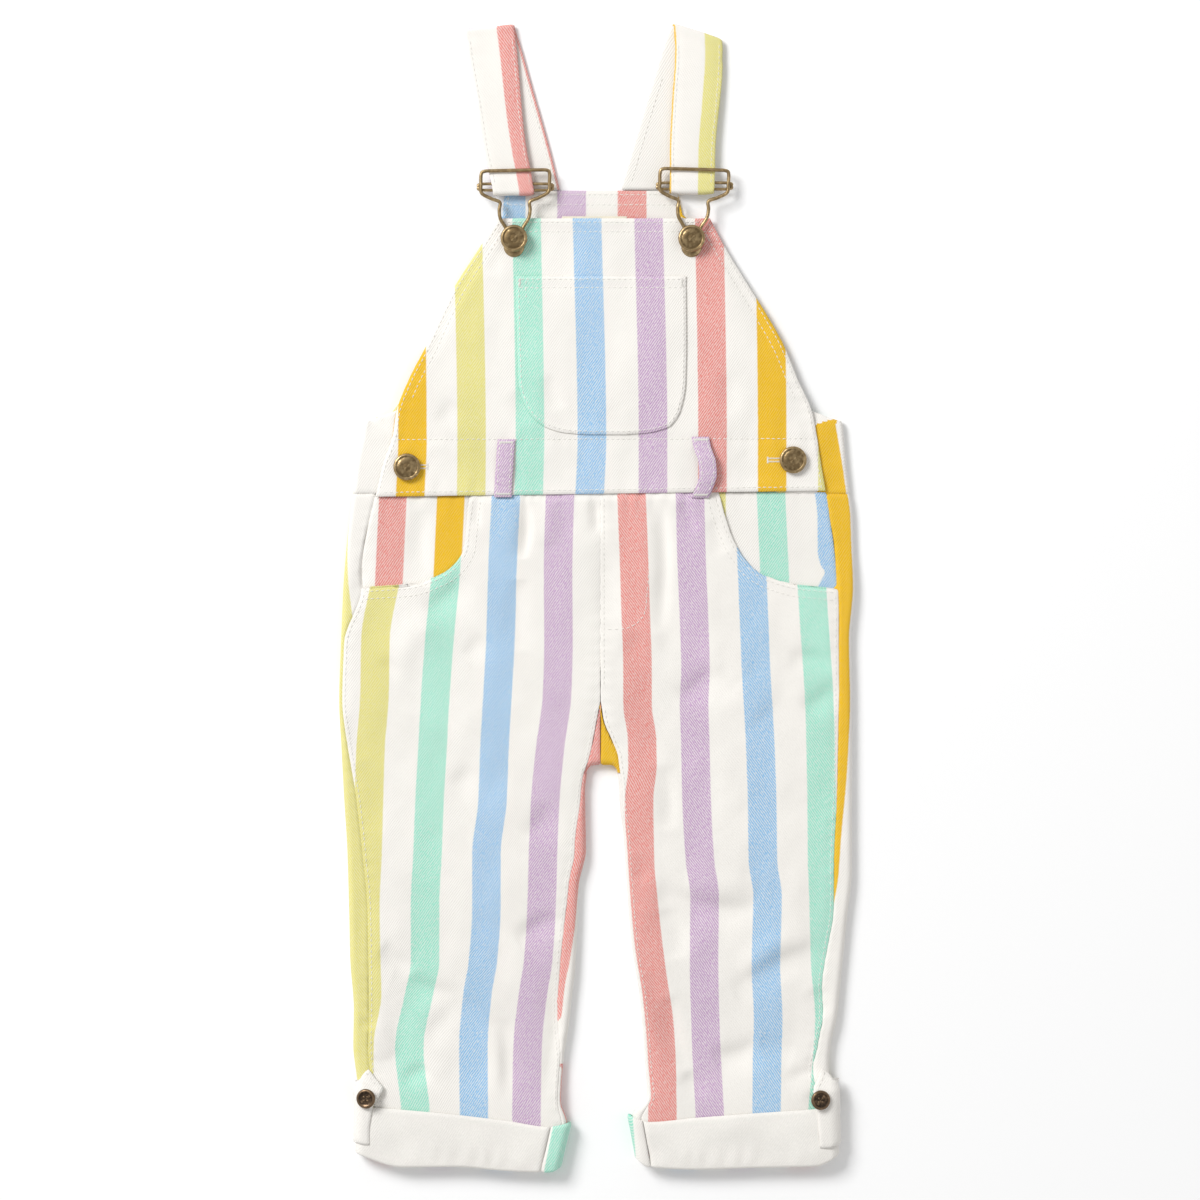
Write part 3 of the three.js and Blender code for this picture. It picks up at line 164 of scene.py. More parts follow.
LEFT = SimpleNamespace(
    name="left", side=1, outer=OUTER_LEFT, inner=INNER_LEFT,
    crotch=table("y x", (-60.2, 2.15), (-70, 3.6), (-80.1, 7.8), (-90, 11.6), (-100, 12.9)),
    pocket=table(
        "y x", (60, 68.4), (44.7, 73), (29.9, 79.2), (19.7, 86.1), (13.4, 93.5),
        (9.4, 103.7), (6.6, 115), (4.6, 136.6),
    ),
    cuff=table(
        "x top hem", (16.5, -294.4, -316), (30.2, -298.4, -324.6), (55.9, -296.1, -325.8),
        (88.9, -293.6, -324.9), (124.8, -291, -324), (138, -288.7, -318.3),
    ),
    outer_top=137.4, outer_hem=138.1, inner_top=17.0, inner_hem=21.5,
    cuff_seam=9.0, turned_stripe=(3.4, 0.6),
    tab=table(
        "k share above width",
        (0, 0.8, 0, 11), (1, 0.4, 0, 11.9), (2, 0.02, 0, 12.3), (3, 0, 3, 12.9), (4, 0, 8, 14.3),
        (5, 0, 11.8, 14), (6, 0, 17.5, 11), (7, 0, 22, 9.5),
    ),
    tab_button=SimpleNamespace(x=127.0, tilt=0.2, rise=1.35),
    stripes=STRIPES_LEFT, first=PINK, way=-1,
    edge_stripe=table(
        "y s", (60, 6.32), (-60, 6.32), (-81, 6.347), (-107, 6.395), (-134, 6.468), (-155, 6.511),
        (-183, 6.56), (-200, 6.61), (-217, 6.66), (-330, 6.7),
    ),
    inner_stripe=table("y s", (-100, 9.5), (-330, 9.5)), flap_stripe=12.0,
)
LEGS = (RIGHT, LEFT)

BIB = table(
    "y right left",
    (58, -126.5, 130.5), (75, -122.5, 127.8), (92, -116.5, 125.3), (106, -114.3, 122.6),
    (124, -107.5, 114.6), (143.9, -97.3, 106.5), (161, -89.5, 97), (177, -81.5, 87),
    (201, -66.1, 72.4), (216.3, -56.4, 64.4),
)
BIB_TOP_Y = 216.3
BIB_TOP_HEIGHT = 4.8
BACK = table(
    "y right left",
    (58.5, -139.4, 144.2), (75, -137.4, 142.4), (90, -134.5, 141), (101, -132.2, 139.7),
    (105, -117.5, 121), (124, -103.5, 111), (141, -94, 103), (164, -84, 90.5), (187, -71.5, 77),
    (210, -57, 61), (218, -54, 49), (232.3, -52.5, 45.8),
)
WRAP_TOP_Y = 101.0
BACK_WRAP = 42.0
WRAP_SLOPE = 0.37
WRAP_CLIMB = 7.0
PATCH_X = 1.5
PATCH = table(
    "y right left",
    (92.9, -9, 15), (94.3, -22, 30), (98.4, -33, 41), (108, -42, 46.5), (122, -46.2, 49),
    (144, -47, 49.5), (183.3, -48, 49.3),
)

# Turn-ups
CUFF_WALL = 1.6
CUFF_TOP_Y = -295.0
CUFF_HEM_Y = -320.0
CUFF_HEIGHT = LEG_HEIGHT + 2 * (CUFF_WALL + GAP)
CUFF_ROLL = 1.7
CUFF_TUCK = 1.5
HEM_CLEARANCE = 2.2
CUFF_LIFT = CUFF_WALL + GAP

CREASE_DEPTH = 1.55

# Main creases on the front, each from one end to the other: bow sideways, width, and height, where
# a trough is negative.
CREASES = table(
    "x0 y0 x1 y1 bow width height",
    (-133, 42, -137, -4, 2, 3.5, -0.9),
    (-99, 50, -98, 6, -2, 4, -1.5),
    (-69, 57, -68, 40, 0, 2.2, -1.0),
    (-42, 57, -43, 22, 2.5, 3.2, -1.5),
    (-44, 10, -42, -30, -3, 5, -1.0),
    (-28, 56, -26, 30, 0, 5, 0.7),
    (-1, 57, 0, 36, 0, 2.2, -0.9),
    (3, 30, 6, -12, 2, 6, -0.7),
    (-98, -8, -76, 12, -2, 5, -1.2),
    (-75, -34, -64, -22, 0, 4.5, -0.8),
    (-112, -45, -92, -10, 5, 9, 0.7),
    (-121, -42, -116, -36, 0, 4, -0.6),
    (-104, -66, -96, -20, 3, 7, -0.6),
    (-141, -66, -134, -92, 0, 5, -0.7),
    (-82, -108, -70, -98, 0, 5, -0.8),
    (-42, -137, -27, -118, -2, 6, -1.0),
    (-46, -196, -22, -183, 2, 5, -1.5),
    (-60, -185, -38, -150, 4, 9, 0.6),
    (-122, -199, -104, -212, -2, 4.5, -1.3),
    (-116, -214, -76, -226, -3, 5, -1.2),
    (-96, -253, -70, -228, 3, 6, -1.2),
    (-110, -278, -96, -268, 1, 4.5, -1.6),
    (-128, -240, -118, -262, 2, 5, 0.9),
    (-59, -244, -58, -288, 1.5, 4, 1.1),
    (-52, -240, -51, -288, 0, 5, -0.9),
    (-30, -210, -24, -285, 4, 5, -1.2),
    (-140, -238, -128, -246, 0, 4, -1.0),
    (-70, -130, -40, -110, 3, 10, 0.6),
    (36, 57, 35, -20, 3, 3.6, -1.5),
    (30, 45, 29, -35, 3, 6, 0.6),
    (48, 54, 58, 38, 0, 3, -0.9),
    (66, 44, 74, 26, -1, 3.5, -0.8),
    (46, -58, 66, -40, -2, 5.5, -1.4),
    (80, -50, 96, -66, 0, 8, 0.7),
    (110, -34, 134, -38, 2, 4, -0.9),
    (117, -64, 137, -48, -2, 5, -1.2),
    (16, -35, 28, -20, 0, 6, -0.6),
    (37, -96, 41, -132, 2, 4.5, -1.3),
    (18, -150, 30, -160, 0, 5, -0.8),
    (34, -166, 90, -178, -4, 6, -1.7),
    (52, -156, 92, -164, -4, 7, 0.8),
    (38, -178, 46, -206, 4, 6, -1.1),
    (78, -226, 126, -200, 3, 6, -1.7),
    (82, -214, 122, -190, 3, 7, 0.8),
    (41, -228, 52, -268, -3, 5, -1.7),
    (66, -262, 92, -254, -2, 5.5, -1.5),
    (92, -254, 112, -262, 2, 6, -0.7),
    (50, -272, 62, -284, 0, 4, -1.2),
    (105, -276, 126, -266, -2, 5, -1.3),
    (126, -222, 134, -240, 0, 5, -1.0),
    (56, -90, 84, -120, 5, 11, 0.6),
    (-90, 98, -82, 112, 0, 4, -0.7),
    (-28, 126, -21, 108, -1, 3.5, -0.8),
    (-45, 118, -37, 100, -2, 4, -0.8),
    (-8, 90, -9, 70, 0, 4, -0.6),
    (72, 126, 79, 106, 0, 4.5, -0.6),
    (88, 172, 106, 126, -2, 4, -0.7),
    (-57, 200, -60, 184, 0, 5, -0.7),
    (-96, 82, -72, 68, 2, 5, -0.6),
    (84, 84, 96, 66, -2, 5, -0.6),
)


def smooth(low, high, value):
    t = np.clip((value - low) / (high - low), 0, 1)
    return t * t * (3 - 2 * t)


def mix(a, b, t):
    return a + (b - a) * t


def along(rows, by, column, at):
    """A smooth curve through one column of a table, with no overshoot."""
    order = np.argsort(rows[by])
    xs, ys = rows[by][order], rows[column][order]
    at = np.clip(at, xs[0], xs[-1])
    gaps = np.diff(xs)
    slopes = np.diff(ys) / gaps
    product = slopes[:-1] * slopes[1:]
    total = np.where(product > 0, slopes[:-1] + slopes[1:], 1)
    tangents = np.concatenate([slopes[:1], np.where(product > 0, 2 * product / total, 0), slopes[-1:]])
    k = np.clip(np.searchsorted(xs, at, side="right") - 1, 0, len(gaps) - 1)
    t = (at - xs[k]) / gaps[k]
    rise = ys[k] * (1 + 2 * t) * (1 - t) ** 2 + ys[k + 1] * t * t * (3 - 2 * t)
    return rise + gaps[k] * (tangents[k] * t * (1 - t) ** 2 - tangents[k + 1] * t * t * (1 - t))


def waves(x, y, seed, length, height, count=9):
    """Gentle uneven waves of about one length in all directions."""
    draw = np.random.default_rng(seed)
    total = np.zeros(np.broadcast(x, y).shape)
    for _ in range(count):
        way = draw.uniform(0, 2 * math.pi)
        turn = 2 * math.pi / (length * draw.uniform(0.7, 1.5))
        total += np.sin(turn * (x * math.cos(way) + y * math.sin(way)) + draw.uniform(0, 6.3))
    return total * height / math.sqrt(count)


def crease_height(x, y):
    """What the creases add to the height of the cloth."""
    total = np.zeros(np.broadcast(x, y).shape)
    for x0, y0, x1, y1, bow, width, height in zip(*CREASES.values()):
        length = math.hypot(x1 - x0, y1 - y0)
        dx, dy = (x1 - x0) / length, (y1 - y0) / length
        t = ((x - x0) * dx + (y - y0) * dy) / length
        inside = np.clip(4 * t * (1 - t), 0, 1)
        away = (x - x0) * -dy + (y - y0) * dx - bow * inside
        spread = np.where(away > 0, width, 1.6 * width)
        total += CREASE_DEPTH * height * inside**0.7 * np.exp(-((away / spread) ** 2))
    return total


# The uneven ground of the cloth: seed, length and height of each set of waves.
GROUND_WAVES = ((3, 46, 0.36), (8, 19, 0.13), (14, 9, 0.035))


def relief(x, y):
    total = crease_height(x, y)
    for seed, length, height in GROUND_WAVES:
        total = total + waves(x, y, seed, length, height)
    return total


def puckers(distance, run, seed, reach=5.0, height=0.28, length=7.5):
    """Short ripples across a seam, where distance is from the seam and run along it."""
    phase = 2 * math.pi * run / length + 1.4 * np.sin(run / 13 + seed) + 0.8 * np.sin(run / 5.3 + 2 * seed)
    strength = 0.6 + 0.4 * np.sin(run / 21 + 3 * seed)
    return height * strength * np.sin(phase) * np.exp(-((distance / reach) ** 2))


def ditch(distance, depth=0.3, width=1.7):
    """The dip that a line of sewing pulls into the cloth."""
    return -depth * np.exp(-((distance / width) ** 2))


# Meshes

def new_object(name, vertices, faces, material, attributes):
    mesh = bpy.data.meshes.new(name)
    mesh.from_pydata((vertices * MM).tolist(), [], faces.tolist() if hasattr(faces, "tolist") else faces)
    for label, values in attributes.items():
        kind = "FLOAT_VECTOR" if values.ndim == 2 else "FLOAT"
        layer = mesh.attributes.new(label, kind, "POINT")
        layer.data.foreach_set("vector" if values.ndim == 2 else "value", values.astype(np.float32).ravel())
    mesh.polygons.foreach_set("use_smooth", [True] * len(mesh.polygons))
    mesh.materials.append(material)
    mesh.validate()
    obj = bpy.data.objects.new(name, mesh)
    bpy.context.scene.collection.objects.link(obj)
    return obj


def grid_quads(valid):
    rows, columns = valid.shape
    ids = np.arange(rows * columns).reshape(rows, columns)
    corners = [ids[:-1, :-1], ids[1:, :-1], ids[1:, 1:], ids[:-1, 1:]]
    whole = valid[:-1, :-1] & valid[1:, :-1] & valid[1:, 1:] & valid[:-1, 1:]
    return np.stack([corner[whole] for corner in corners], axis=1)


def point_normals(points, quads):
    across = points[quads[:, 2]] - points[quads[:, 0]]
    other = points[quads[:, 3]] - points[quads[:, 1]]
    face = np.cross(across, other)
    total = np.zeros_like(points)
    for corner in range(4):
        np.add.at(total, quads[:, corner], face)
    return total / np.maximum(np.linalg.norm(total, axis=1, keepdims=True), 1e-9)


def open_edges(quads, count):
    starts = quads.ravel()
    ends = np.roll(quads, -1, axis=1).ravel()
    there = starts * count + ends
    lone = ~np.isin(there, ends * count + starts)
    return starts[lone], ends[lone]


RIM_WIDTH = 1.5
RIM_ROUND = 0.55  # how much of the cloth's thickness its rounded edge takes


def sheet_mesh(grid, stripe, weave, up=True, thickness=CLOTH, valid=None):
    """A closed cloth wall under a grid of points, with rounded edges; up is its first row's way."""
    rows, columns = grid.shape[:2]
    valid = np.ones((rows, columns), bool) if valid is None else valid
    points = grid.reshape(-1, 3)
    quads = grid_quads(valid)
    normals = point_normals(points, quads)
    middle = np.flatnonzero(valid[0])[valid[0].sum() // 2]
    if (normals[middle, 2] > 0) != up:
        quads = quads[:, ::-1]
        normals = -normals
    starts, ends = open_edges(quads, len(points))
    near = rim_nearness(points, points[starts], RIM_WIDTH)[:, None]
    outer = points - normals * near * RIM_ROUND * thickness
    outer[:, 2] = np.maximum(outer[:, 2], 0)
    inner = points - normals * thickness * (1 - near * (1 - RIM_ROUND) * 0.3)
    inner[:, 2] = np.maximum(inner[:, 2], 0.02)
    used = np.zeros(len(points), bool)
    used[quads.ravel()] = True
    new_ids = np.cumsum(used) - 1
    total = int(used.sum())
    quads = new_ids[quads]
    starts, ends = new_ids[starts], new_ids[ends]
    side = np.stack([ends, starts, starts + total, ends + total], axis=1)
    faces = np.concatenate([quads, quads[:, ::-1] + total, side])
    flat_weave = np.concatenate([weave.reshape(-1, 2)[used], np.zeros((total, 1))], axis=1)
    return SimpleNamespace(
        points=np.concatenate([outer[used], inner[used]]),
        faces=faces,
        stripe=np.tile(stripe.ravel()[used], 2),
        weave=np.tile(flat_weave, (2, 1)),
    )


def rim_nearness(points, edge, width):
    """1 on the cloth's edge, falling to 0 at a distance from it."""
    nearest = np.full(len(points), 1e9)
    for start in range(0, len(edge), 200):
        part = edge[start : start + 200]
        gaps = ((points[:, None, :] - part[None, :, :]) ** 2).sum(axis=2)
        nearest = np.minimum(nearest, gaps.min(axis=1))
    return 1 - smooth(0, width, np.sqrt(nearest))


def cloth_piece(name, grid, stripe, flat, area=None, on=None, weave=None, look=None, **wall_options):
    """Puts a cloth wall in the place of its CAD node and hides the node.

    weave is the place in the twill across and along it, and look is a material and a slot name; the slot is
    not used.
    """
    material, slot = look or (STRIPED, "striped_twill")
    across, run = weave or (grid[..., 0], grid[..., 1])
    wall = sheet_mesh(grid, stripe, np.stack([across, run], axis=-1), **wall_options)
    layers = {"stripe": wall.stripe, "weave": wall.weave}
    obj = new_object(name + "_cloth", wall.points, wall.faces, material, layers)
    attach(obj, "root")
    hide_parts(name)


def shares(low, high, step=STEP, rim=(0.0, 0.5, 1.1)):
    """Places from low to high as rows of an array, close together at both ends and even between them."""
    low, high = np.atleast_1d(low), np.atleast_1d(high)
    edge = 1.9
    count = max(3, int(np.abs(high - low).max() / step))
    even = np.linspace(0, 1, count)
    weight = np.concatenate([np.zeros(len(rim)), even, np.ones(len(rim))])
    shift = np.concatenate([rim, edge * (1 - 2 * even), -np.array(rim[::-1])])
    sign = np.sign(high - low)[:, None]
    return mix(low[:, None], high[:, None], weight) + sign * shift


def stripe_at(x, y, rows, first, way):
    """Place in the run of stripes: whole numbers are the middles of the coloured ones."""
    names = sorted(name for name in rows if name != "y")
    knots = []
    for k, name in enumerate(names):
        centre = along(rows, "y", name, y)
        knots.append((centre - STRIPE_HALF, first + way * (k - STRIPE_SHARE)))
        knots.append((centre + STRIPE_HALF, first + way * (k + STRIPE_SHARE)))
    result = knots[0][1] + way * (x - knots[0][0]) / STRIPE_PERIOD
    for (x0, s0), (x1, s1) in zip(knots, knots[1:]):
        result = np.where(x > x0, s0 + (s1 - s0) * (x - x0) / (x1 - x0), result)
    last_x, last_s = knots[-1]
    return np.where(x > last_x, last_s + way * (x - last_x) / STRIPE_PERIOD, result)


def bib_stripe(x, y):
    return stripe_at(x, y, STRIPES_BIB, GOLD, 1)


# Materials

PALETTE = {
    "cloth": (0.915, 0.885, 0.835),
    "gold": (0.84, 0.5, 0.008),
    "lime": (0.77, 0.71, 0.22),
    "mint": (0.32, 0.77, 0.6),
    "blue": (0.26, 0.52, 0.8),
    "lilac": (0.55, 0.35, 0.57),
    "pink": (0.78, 0.25, 0.22),
    "thread": (0.88, 0.86, 0.81),
    "label": (0.82, 0.76, 0.62),
    "brass": (0.17, 0.115, 0.055),
    "worn_brass": (0.56, 0.41, 0.22),
    "dark": (0.05, 0.035, 0.025),
    "worn_dark": (0.3, 0.2, 0.12),
}
RAMP_COLOURS = ("gold", "lime", "mint", "blue", "lilac", "pink")
FLECK_SHARE = {"gold": 0.09, "lime": 0.3, "mint": 0.55, "blue": 0.62, "lilac": 0.66, "pink": 0.5}
TWILL_ANGLE = -55


def colour(name):
    return (*PALETTE[name], 1)


class Tree:
    """A material's nodes, added one after another."""

    def __init__(self, name, **fixed):
        self.material = bpy.data.materials.new(name)
        self.material.use_nodes = True
        self.nodes = self.material.node_tree.nodes
        self.links = self.material.node_tree.links
        self.shader = self.nodes["Principled BSDF"]
        for label, value in fixed.items():
            self.shader.inputs[label.replace("_", " ")].default_value = value

    def put(self, target, value):
        if isinstance(value, bpy.types.NodeSocket):
            self.links.new(value, target)
        else:
            target.default_value = value

    def node(self, kind, inputs=(), **settings):
        made = self.nodes.new("ShaderNode" + kind)
        for label, value in settings.items():
            setattr(made, label, value)
        for key, value in dict(inputs).items():
            self.put(made.inputs[key], value)
        return made

    def math(self, operation, a, b=0.0, c=0.0):
        return self.node("Math", {0: a, 1: b, 2: c}, operation=operation).outputs[0]

    def blend(self, share, a, b, kind="MIX"):
        made = self.node("Mix", {0: share}, data_type="RGBA", blend_type=kind)
        self.put(made.inputs[6], a)
        self.put(made.inputs[7], b)
        return made.outputs[2]

    def tint(self, base, shade):
        grey = self.node("CombineColor", {0: shade, 1: shade, 2: shade}).outputs[0]
        return self.blend(1.0, base, grey, "MULTIPLY")

    def noise(self, place, scale, detail=2.0, stretch=None):
        if stretch:
            place = self.node("VectorMath", {0: place, 1: stretch}, operation="MULTIPLY").outputs[0]
        return self.node("TexNoise", {"Vector": place, "Scale": scale, "Detail": detail}).outputs[0]

    def span(self, value, low, high, start, end):
        inputs = {0: value, 1: low, 2: high, 3: start, 4: end}
        return self.node("MapRange", inputs, interpolation_type="SMOOTHSTEP").outputs[0]

    def finish(self, base, roughness, height, depth):
        bump = self.node("Bump", {"Height": height, "Distance": depth * MM, "Strength": 1.0})
        self.links.new(bump.outputs[0], self.shader.inputs["Normal"])
        self.put(self.shader.inputs["Base Color"], base)
        self.put(self.shader.inputs["Roughness"], roughness)
        return self.material


def twill(tree, weave):
    """Diagonal ribs of the weave, and the pale floats that lie along them in rows."""
    parts = tree.node("SeparateXYZ", {0: weave})
    drift = tree.math("MULTIPLY_ADD", tree.noise(weave, 0.12, 2.0), 3.0, -1.5)
    along_run = tree.math("MULTIPLY_ADD", parts.outputs[1], -3.0, drift)
    rib = tree.math("MULTIPLY_ADD", parts.outputs[0], 4.4, along_run)
    ribs = tree.math("MULTIPLY_ADD", tree.math("SINE", rib), 0.5, 0.5)
    inputs = {"Vector": weave, "Angle": math.radians(TWILL_ANGLE)}
    turned = tree.node("VectorRotate", inputs, rotation_type="Z_AXIS")
    flecks = tree.noise(turned.outputs[0], 1.0, 2.0, (0.55, 1.7, 1.0))
    return ribs, flecks


def striped_cloth():
    tree = Tree("striped_twill", Sheen_Weight=0.06, Sheen_Roughness=0.5, Specular_IOR_Level=0.2)
    weave = tree.node("Attribute", attribute_name="weave").outputs["Vector"]
    place = tree.node("Attribute", attribute_name="stripe").outputs["Fac"]
    wobble = tree.math("MULTIPLY_ADD", tree.noise(weave, 0.9), 0.02, -0.01)
    place = tree.math("ADD", place, wobble)
    number = tree.math("ROUND", place)
    away = tree.math("ABSOLUTE", tree.math("SUBTRACT", place, number))
    inside = tree.span(away, 0.226, 0.25, 1.0, 0.0)
    sixth = tree.math("DIVIDE", tree.math("FLOORED_MODULO", number, 6.0), 6.0)
    ramp = tree.node("ValToRGB", {0: tree.math("ADD", sixth, 0.5 / 6)})
    ramp.color_ramp.interpolation = "CONSTANT"
    stops = ramp.color_ramp.elements
    while len(stops) < len(RAMP_COLOURS):
        stops.new(0.5)
    for k, label in enumerate(RAMP_COLOURS):
        stops[k].position = k / 6
        stops[k].color = (*colour(label)[:3], FLECK_SHARE[label])
    ribs, flecks = twill(tree, weave)
    broken = tree.math("MULTIPLY_ADD", flecks, 0.75, tree.math("MULTIPLY", ribs, 0.3))
    faded = tree.math("MULTIPLY", tree.span(broken, 0.42, 0.66, 0.0, 1.0), ramp.outputs["Alpha"])
    worn = tree.blend(faded, ramp.outputs["Color"], colour("cloth"))
    base = tree.blend(inside, colour("cloth"), worn)
    broad = tree.span(tree.noise(weave, 0.02, 3.0), 0.3, 0.7, 0.965, 1.0)
    shade = tree.math("MULTIPLY", broad, tree.span(ribs, 0.0, 1.0, 0.965, 1.0))
    base = tree.tint(base, shade)
    height = tree.math("MULTIPLY_ADD", flecks, 0.9, ribs)
    return tree.finish(base, tree.span(flecks, 0.3, 0.7, 0.95, 0.82), height, 0.11)


def plain_cloth(name, label):
    tree = Tree(name, Sheen_Weight=0.12, Sheen_Roughness=0.5, Specular_IOR_Level=0.25)
    weave = tree.node("Attribute", attribute_name="weave").outputs["Vector"]
    ribs, flecks = twill(tree, weave)
    broad = tree.span(tree.noise(weave, 0.03, 3.0), 0.3, 0.7, 0.95, 1.0)
    shade = tree.math("MULTIPLY", broad, tree.span(flecks, 0.35, 0.7, 0.94, 1.0))
    base = tree.tint(colour(label), shade)
    return tree.finish(base, tree.span(flecks, 0.3, 0.7, 0.95, 0.85), tree.math("ADD", ribs, flecks), 0.1)


def metal(name, deep, worn, share):
    tree = Tree(name, Metallic=1.0)
    place = tree.node("TexCoord").outputs["Object"]
    cloudy = tree.noise(place, 420.0, 4.0)
    fine = tree.noise(place, 2600.0, 3.0)
    edges = tree.node("NewGeometry").outputs["Pointiness"]
    on_edges = tree.span(edges, 0.5, 0.56, 0.0, 0.5)
    rubbed = tree.math("ADD", on_edges, tree.span(cloudy, 0.42, 0.68, 0.0, share))
    base = tree.blend(rubbed, colour(deep), colour(worn))
    return tree.finish(base, tree.span(cloudy, 0.3, 0.7, 0.5, 0.32), fine, 0.03)


def thread_material():
    tree = Tree("sewing_thread", Sheen_Weight=0.1, Specular_IOR_Level=0.3)
    place = tree.node("TexCoord").outputs["Object"]
    twist = tree.noise(place, 1800.0, 2.0)
    shade = tree.span(twist, 0.3, 0.7, 0.86, 1.0)
    return tree.finish(tree.tint(colour("thread"), shade), 0.8, twist, 0.05)


STRIPED = striped_cloth()
TURNED = plain_cloth("turned_up_cloth", "cloth")
TAPE = plain_cloth("label_tape", "label")
BRASS = metal("antique_brass", "brass", "worn_brass", 0.55)
DARK = metal("dark_metal", "dark", "worn_dark", 0.35)
THREAD = thread_material()


# Trouser legs

def waist_y(x):
    return WAIST_Y + WAIST_SLOPE * x


def row_y(leg, s, x):
    """Real y of a leg's row: straight above, following the turn-up's edges lower down."""
    top = along(leg.cuff, "x", "top", x)
    hem = along(leg.cuff, "x", "hem", x) + CUFF_ROLL + CUFF_TUCK + HEM_CLEARANCE
    above = s + smooth(-225, CUFF_TOP_Y, s) * (top - CUFF_TOP_Y)
    below = mix(top, hem, (CUFF_TOP_Y - s) / (CUFF_TOP_Y - CUFF_HEM_Y))
    return np.where(s >= CUFF_TOP_Y, above, below)


def lift(s):
    return CUFF_LIFT * smooth(-262, -291, s)


def side_height(s):
    return mix(LEG_HEIGHT, SIDE_HEIGHT, smooth(5, 33, s))


SEAM_TUCK = 3.0  # how far a panel's edge runs on under its neighbour
SEAM_SINK = 1.15


def side_profile(edge, base, roll, seam, run, count=20):
    """Points round a leg's side, from under the seam on top, over the side, to the floor."""
    round_side = roll * np.arccos(np.clip(1 - seam / roll, -1, 1))
    start = np.where(seam < roll, round_side, roll * QUARTER + seam - roll)
    q = mix(start + SEAM_TUCK, -roll * QUARTER, np.linspace(0, 1, count)[:, None]).T
    roll, base = roll[:, None], base[:, None]
    inward = np.maximum(0, q - roll * QUARTER)
    angle = np.minimum(q / roll, QUARTER)
    over = q - start[:, None]
    at_pocket = smooth(4, 9, run) * (1 - smooth(34, 44, run))
    radius = roll - (SEAM_SINK + 1.4 * at_pocket[:, None]) * smooth(-0.9, 1.2, over)
    radius = radius + puckers(over, run[:, None], 2.1, 3.5, 0.22) * smooth(0.0, 0.8, angle)
    out = radius * np.cos(angle) - roll - inward
    x = edge["x"][:, None] + edge["nx"][:, None] * out
    y = edge["y"][:, None] + edge["ny"][:, None] * out
    return np.stack([x, y, base + roll + radius * np.sin(angle)], axis=-1), q


# Height of the crotch seam's point for each share of the back panel's turn.
CROTCH_SEAM = table(
    "t y", (0, -100), (0.125, -98), (0.375, -93), (0.5, -90), (0.75, -80.1), (0.875, -70), (1, -60.7),
)


def back_rows(leg):
    """For each row of a back panel: its level, and the edge that its inner side rolls over."""
    below = np.arange(CUFF_HEM_Y, CROTCH_START_Y, STEP)
    turns = np.linspace(0, 1, 92)[1:]
    angle = np.minimum(1, turns * 2) * QUARTER
    start_x = along(leg.inner, "y", "x", CROTCH_START_Y)
    centre = CENTRE_X + leg.side * GAP / 2
    arc_x = start_x - leg.side * CROTCH_RADIUS * (1 - np.cos(angle))
    fold_x = mix(arc_x, centre, np.clip(turns * 2 - 1, 0, 1))
    fold_y = CROTCH_START_Y + CROTCH_RADIUS * np.sin(angle)
    seam_y = along(CROTCH_SEAM, "t", "y", turns)
    seam_x = along(leg.crotch, "y", "x", seam_y)
    reach = np.hypot(fold_x - seam_x, fold_y - seam_y)
    level = mix(CROTCH_START_Y, WAIST_Y, turns)
    straight = np.ones_like(below)
    return SimpleNamespace(
        s=np.concatenate([below, level]),
        turn=np.concatenate([0 * below, turns]),
        x=np.concatenate([along(leg.inner, "y", "x", below), fold_x]),
        y=np.concatenate([below, fold_y]),
        nx=np.concatenate([-leg.side * straight, (fold_x - seam_x) / reach]),
        ny=np.concatenate([0 * below, (fold_y - seam_y) / reach]),
        seam=np.concatenate([along(leg.inner, "y", "seam", below), reach]),
        bend_x=mix(start_x, centre, np.minimum(1, np.concatenate([0 * below, turns]) * 1.3)),
    )


def back_leg(leg):
    rows = back_rows(leg)
    count = len(rows.s)
    outer_edge = {
        "x": along(leg.outer, "y", "x", rows.s), "y": rows.s,
        "nx": np.full(count, float(leg.side)), "ny": np.zeros(count),
    }
    seam = along(leg.outer, "y", "seam", rows.s) - GAP / 2
    outer, outer_q = side_profile(outer_edge, lift(rows.s), side_height(rows.s) / 2, seam, rows.s)
    inner_edge = {"x": rows.x, "y": rows.y, "nx": rows.nx, "ny": rows.ny}
    roll = np.full(count, LEG_HEIGHT / 2)
    base = np.where(rows.turn > 0, 0, lift(rows.s))
    inner, inner_q = side_profile(inner_edge, base, roll, rows.seam - GAP / 2, rows.s)
    inner, inner_q = inner[:, ::-1], inner_q[:, ::-1]
    floor = []
    shares_out = np.linspace(0, 1, 62)[1:-1]
    start, end = outer[:, -1], inner[:, 0]
    bend = np.stack([rows.bend_x, rows.s, 0 * rows.s], axis=1)
    turning = smooth(0, 0.08, rows.turn)[:, None]
    for share in shares_out:
        straight = mix(start, end, share)
        bent = mix(start, bend, share / 0.6) if share < 0.6 else mix(bend, end, (share - 0.6) / 0.4)
        floor.append(mix(straight, bent, turning))
    grid = np.concatenate([outer, np.stack(floor, axis=1), inner], axis=1)
    lying = rows.turn == 0
    grid[lying, :, 1] = row_y(leg, rows.s[lying, None], grid[lying, :, 0])
    level = rows.s[:, None]
    dip = np.minimum(0, relief(grid[..., 0], grid[..., 1])) * relief_share(leg, level, grid[..., 0])
    grid[..., 2] += np.where(grid[..., 2] > lift(level) + LEG_HEIGHT / 2, dip, 0)
    middle = outer.shape[1], grid.shape[1] - inner.shape[1]
    flap_x = np.where(rows.turn[:, None] > 0, grid[:, middle[1] :, 0], inner_q)
    across = np.concatenate([-outer_q, grid[:, middle[0] : middle[1], 0], flap_x], axis=1)
    return grid, back_stripe(leg, rows, grid, outer_q, inner_q), across


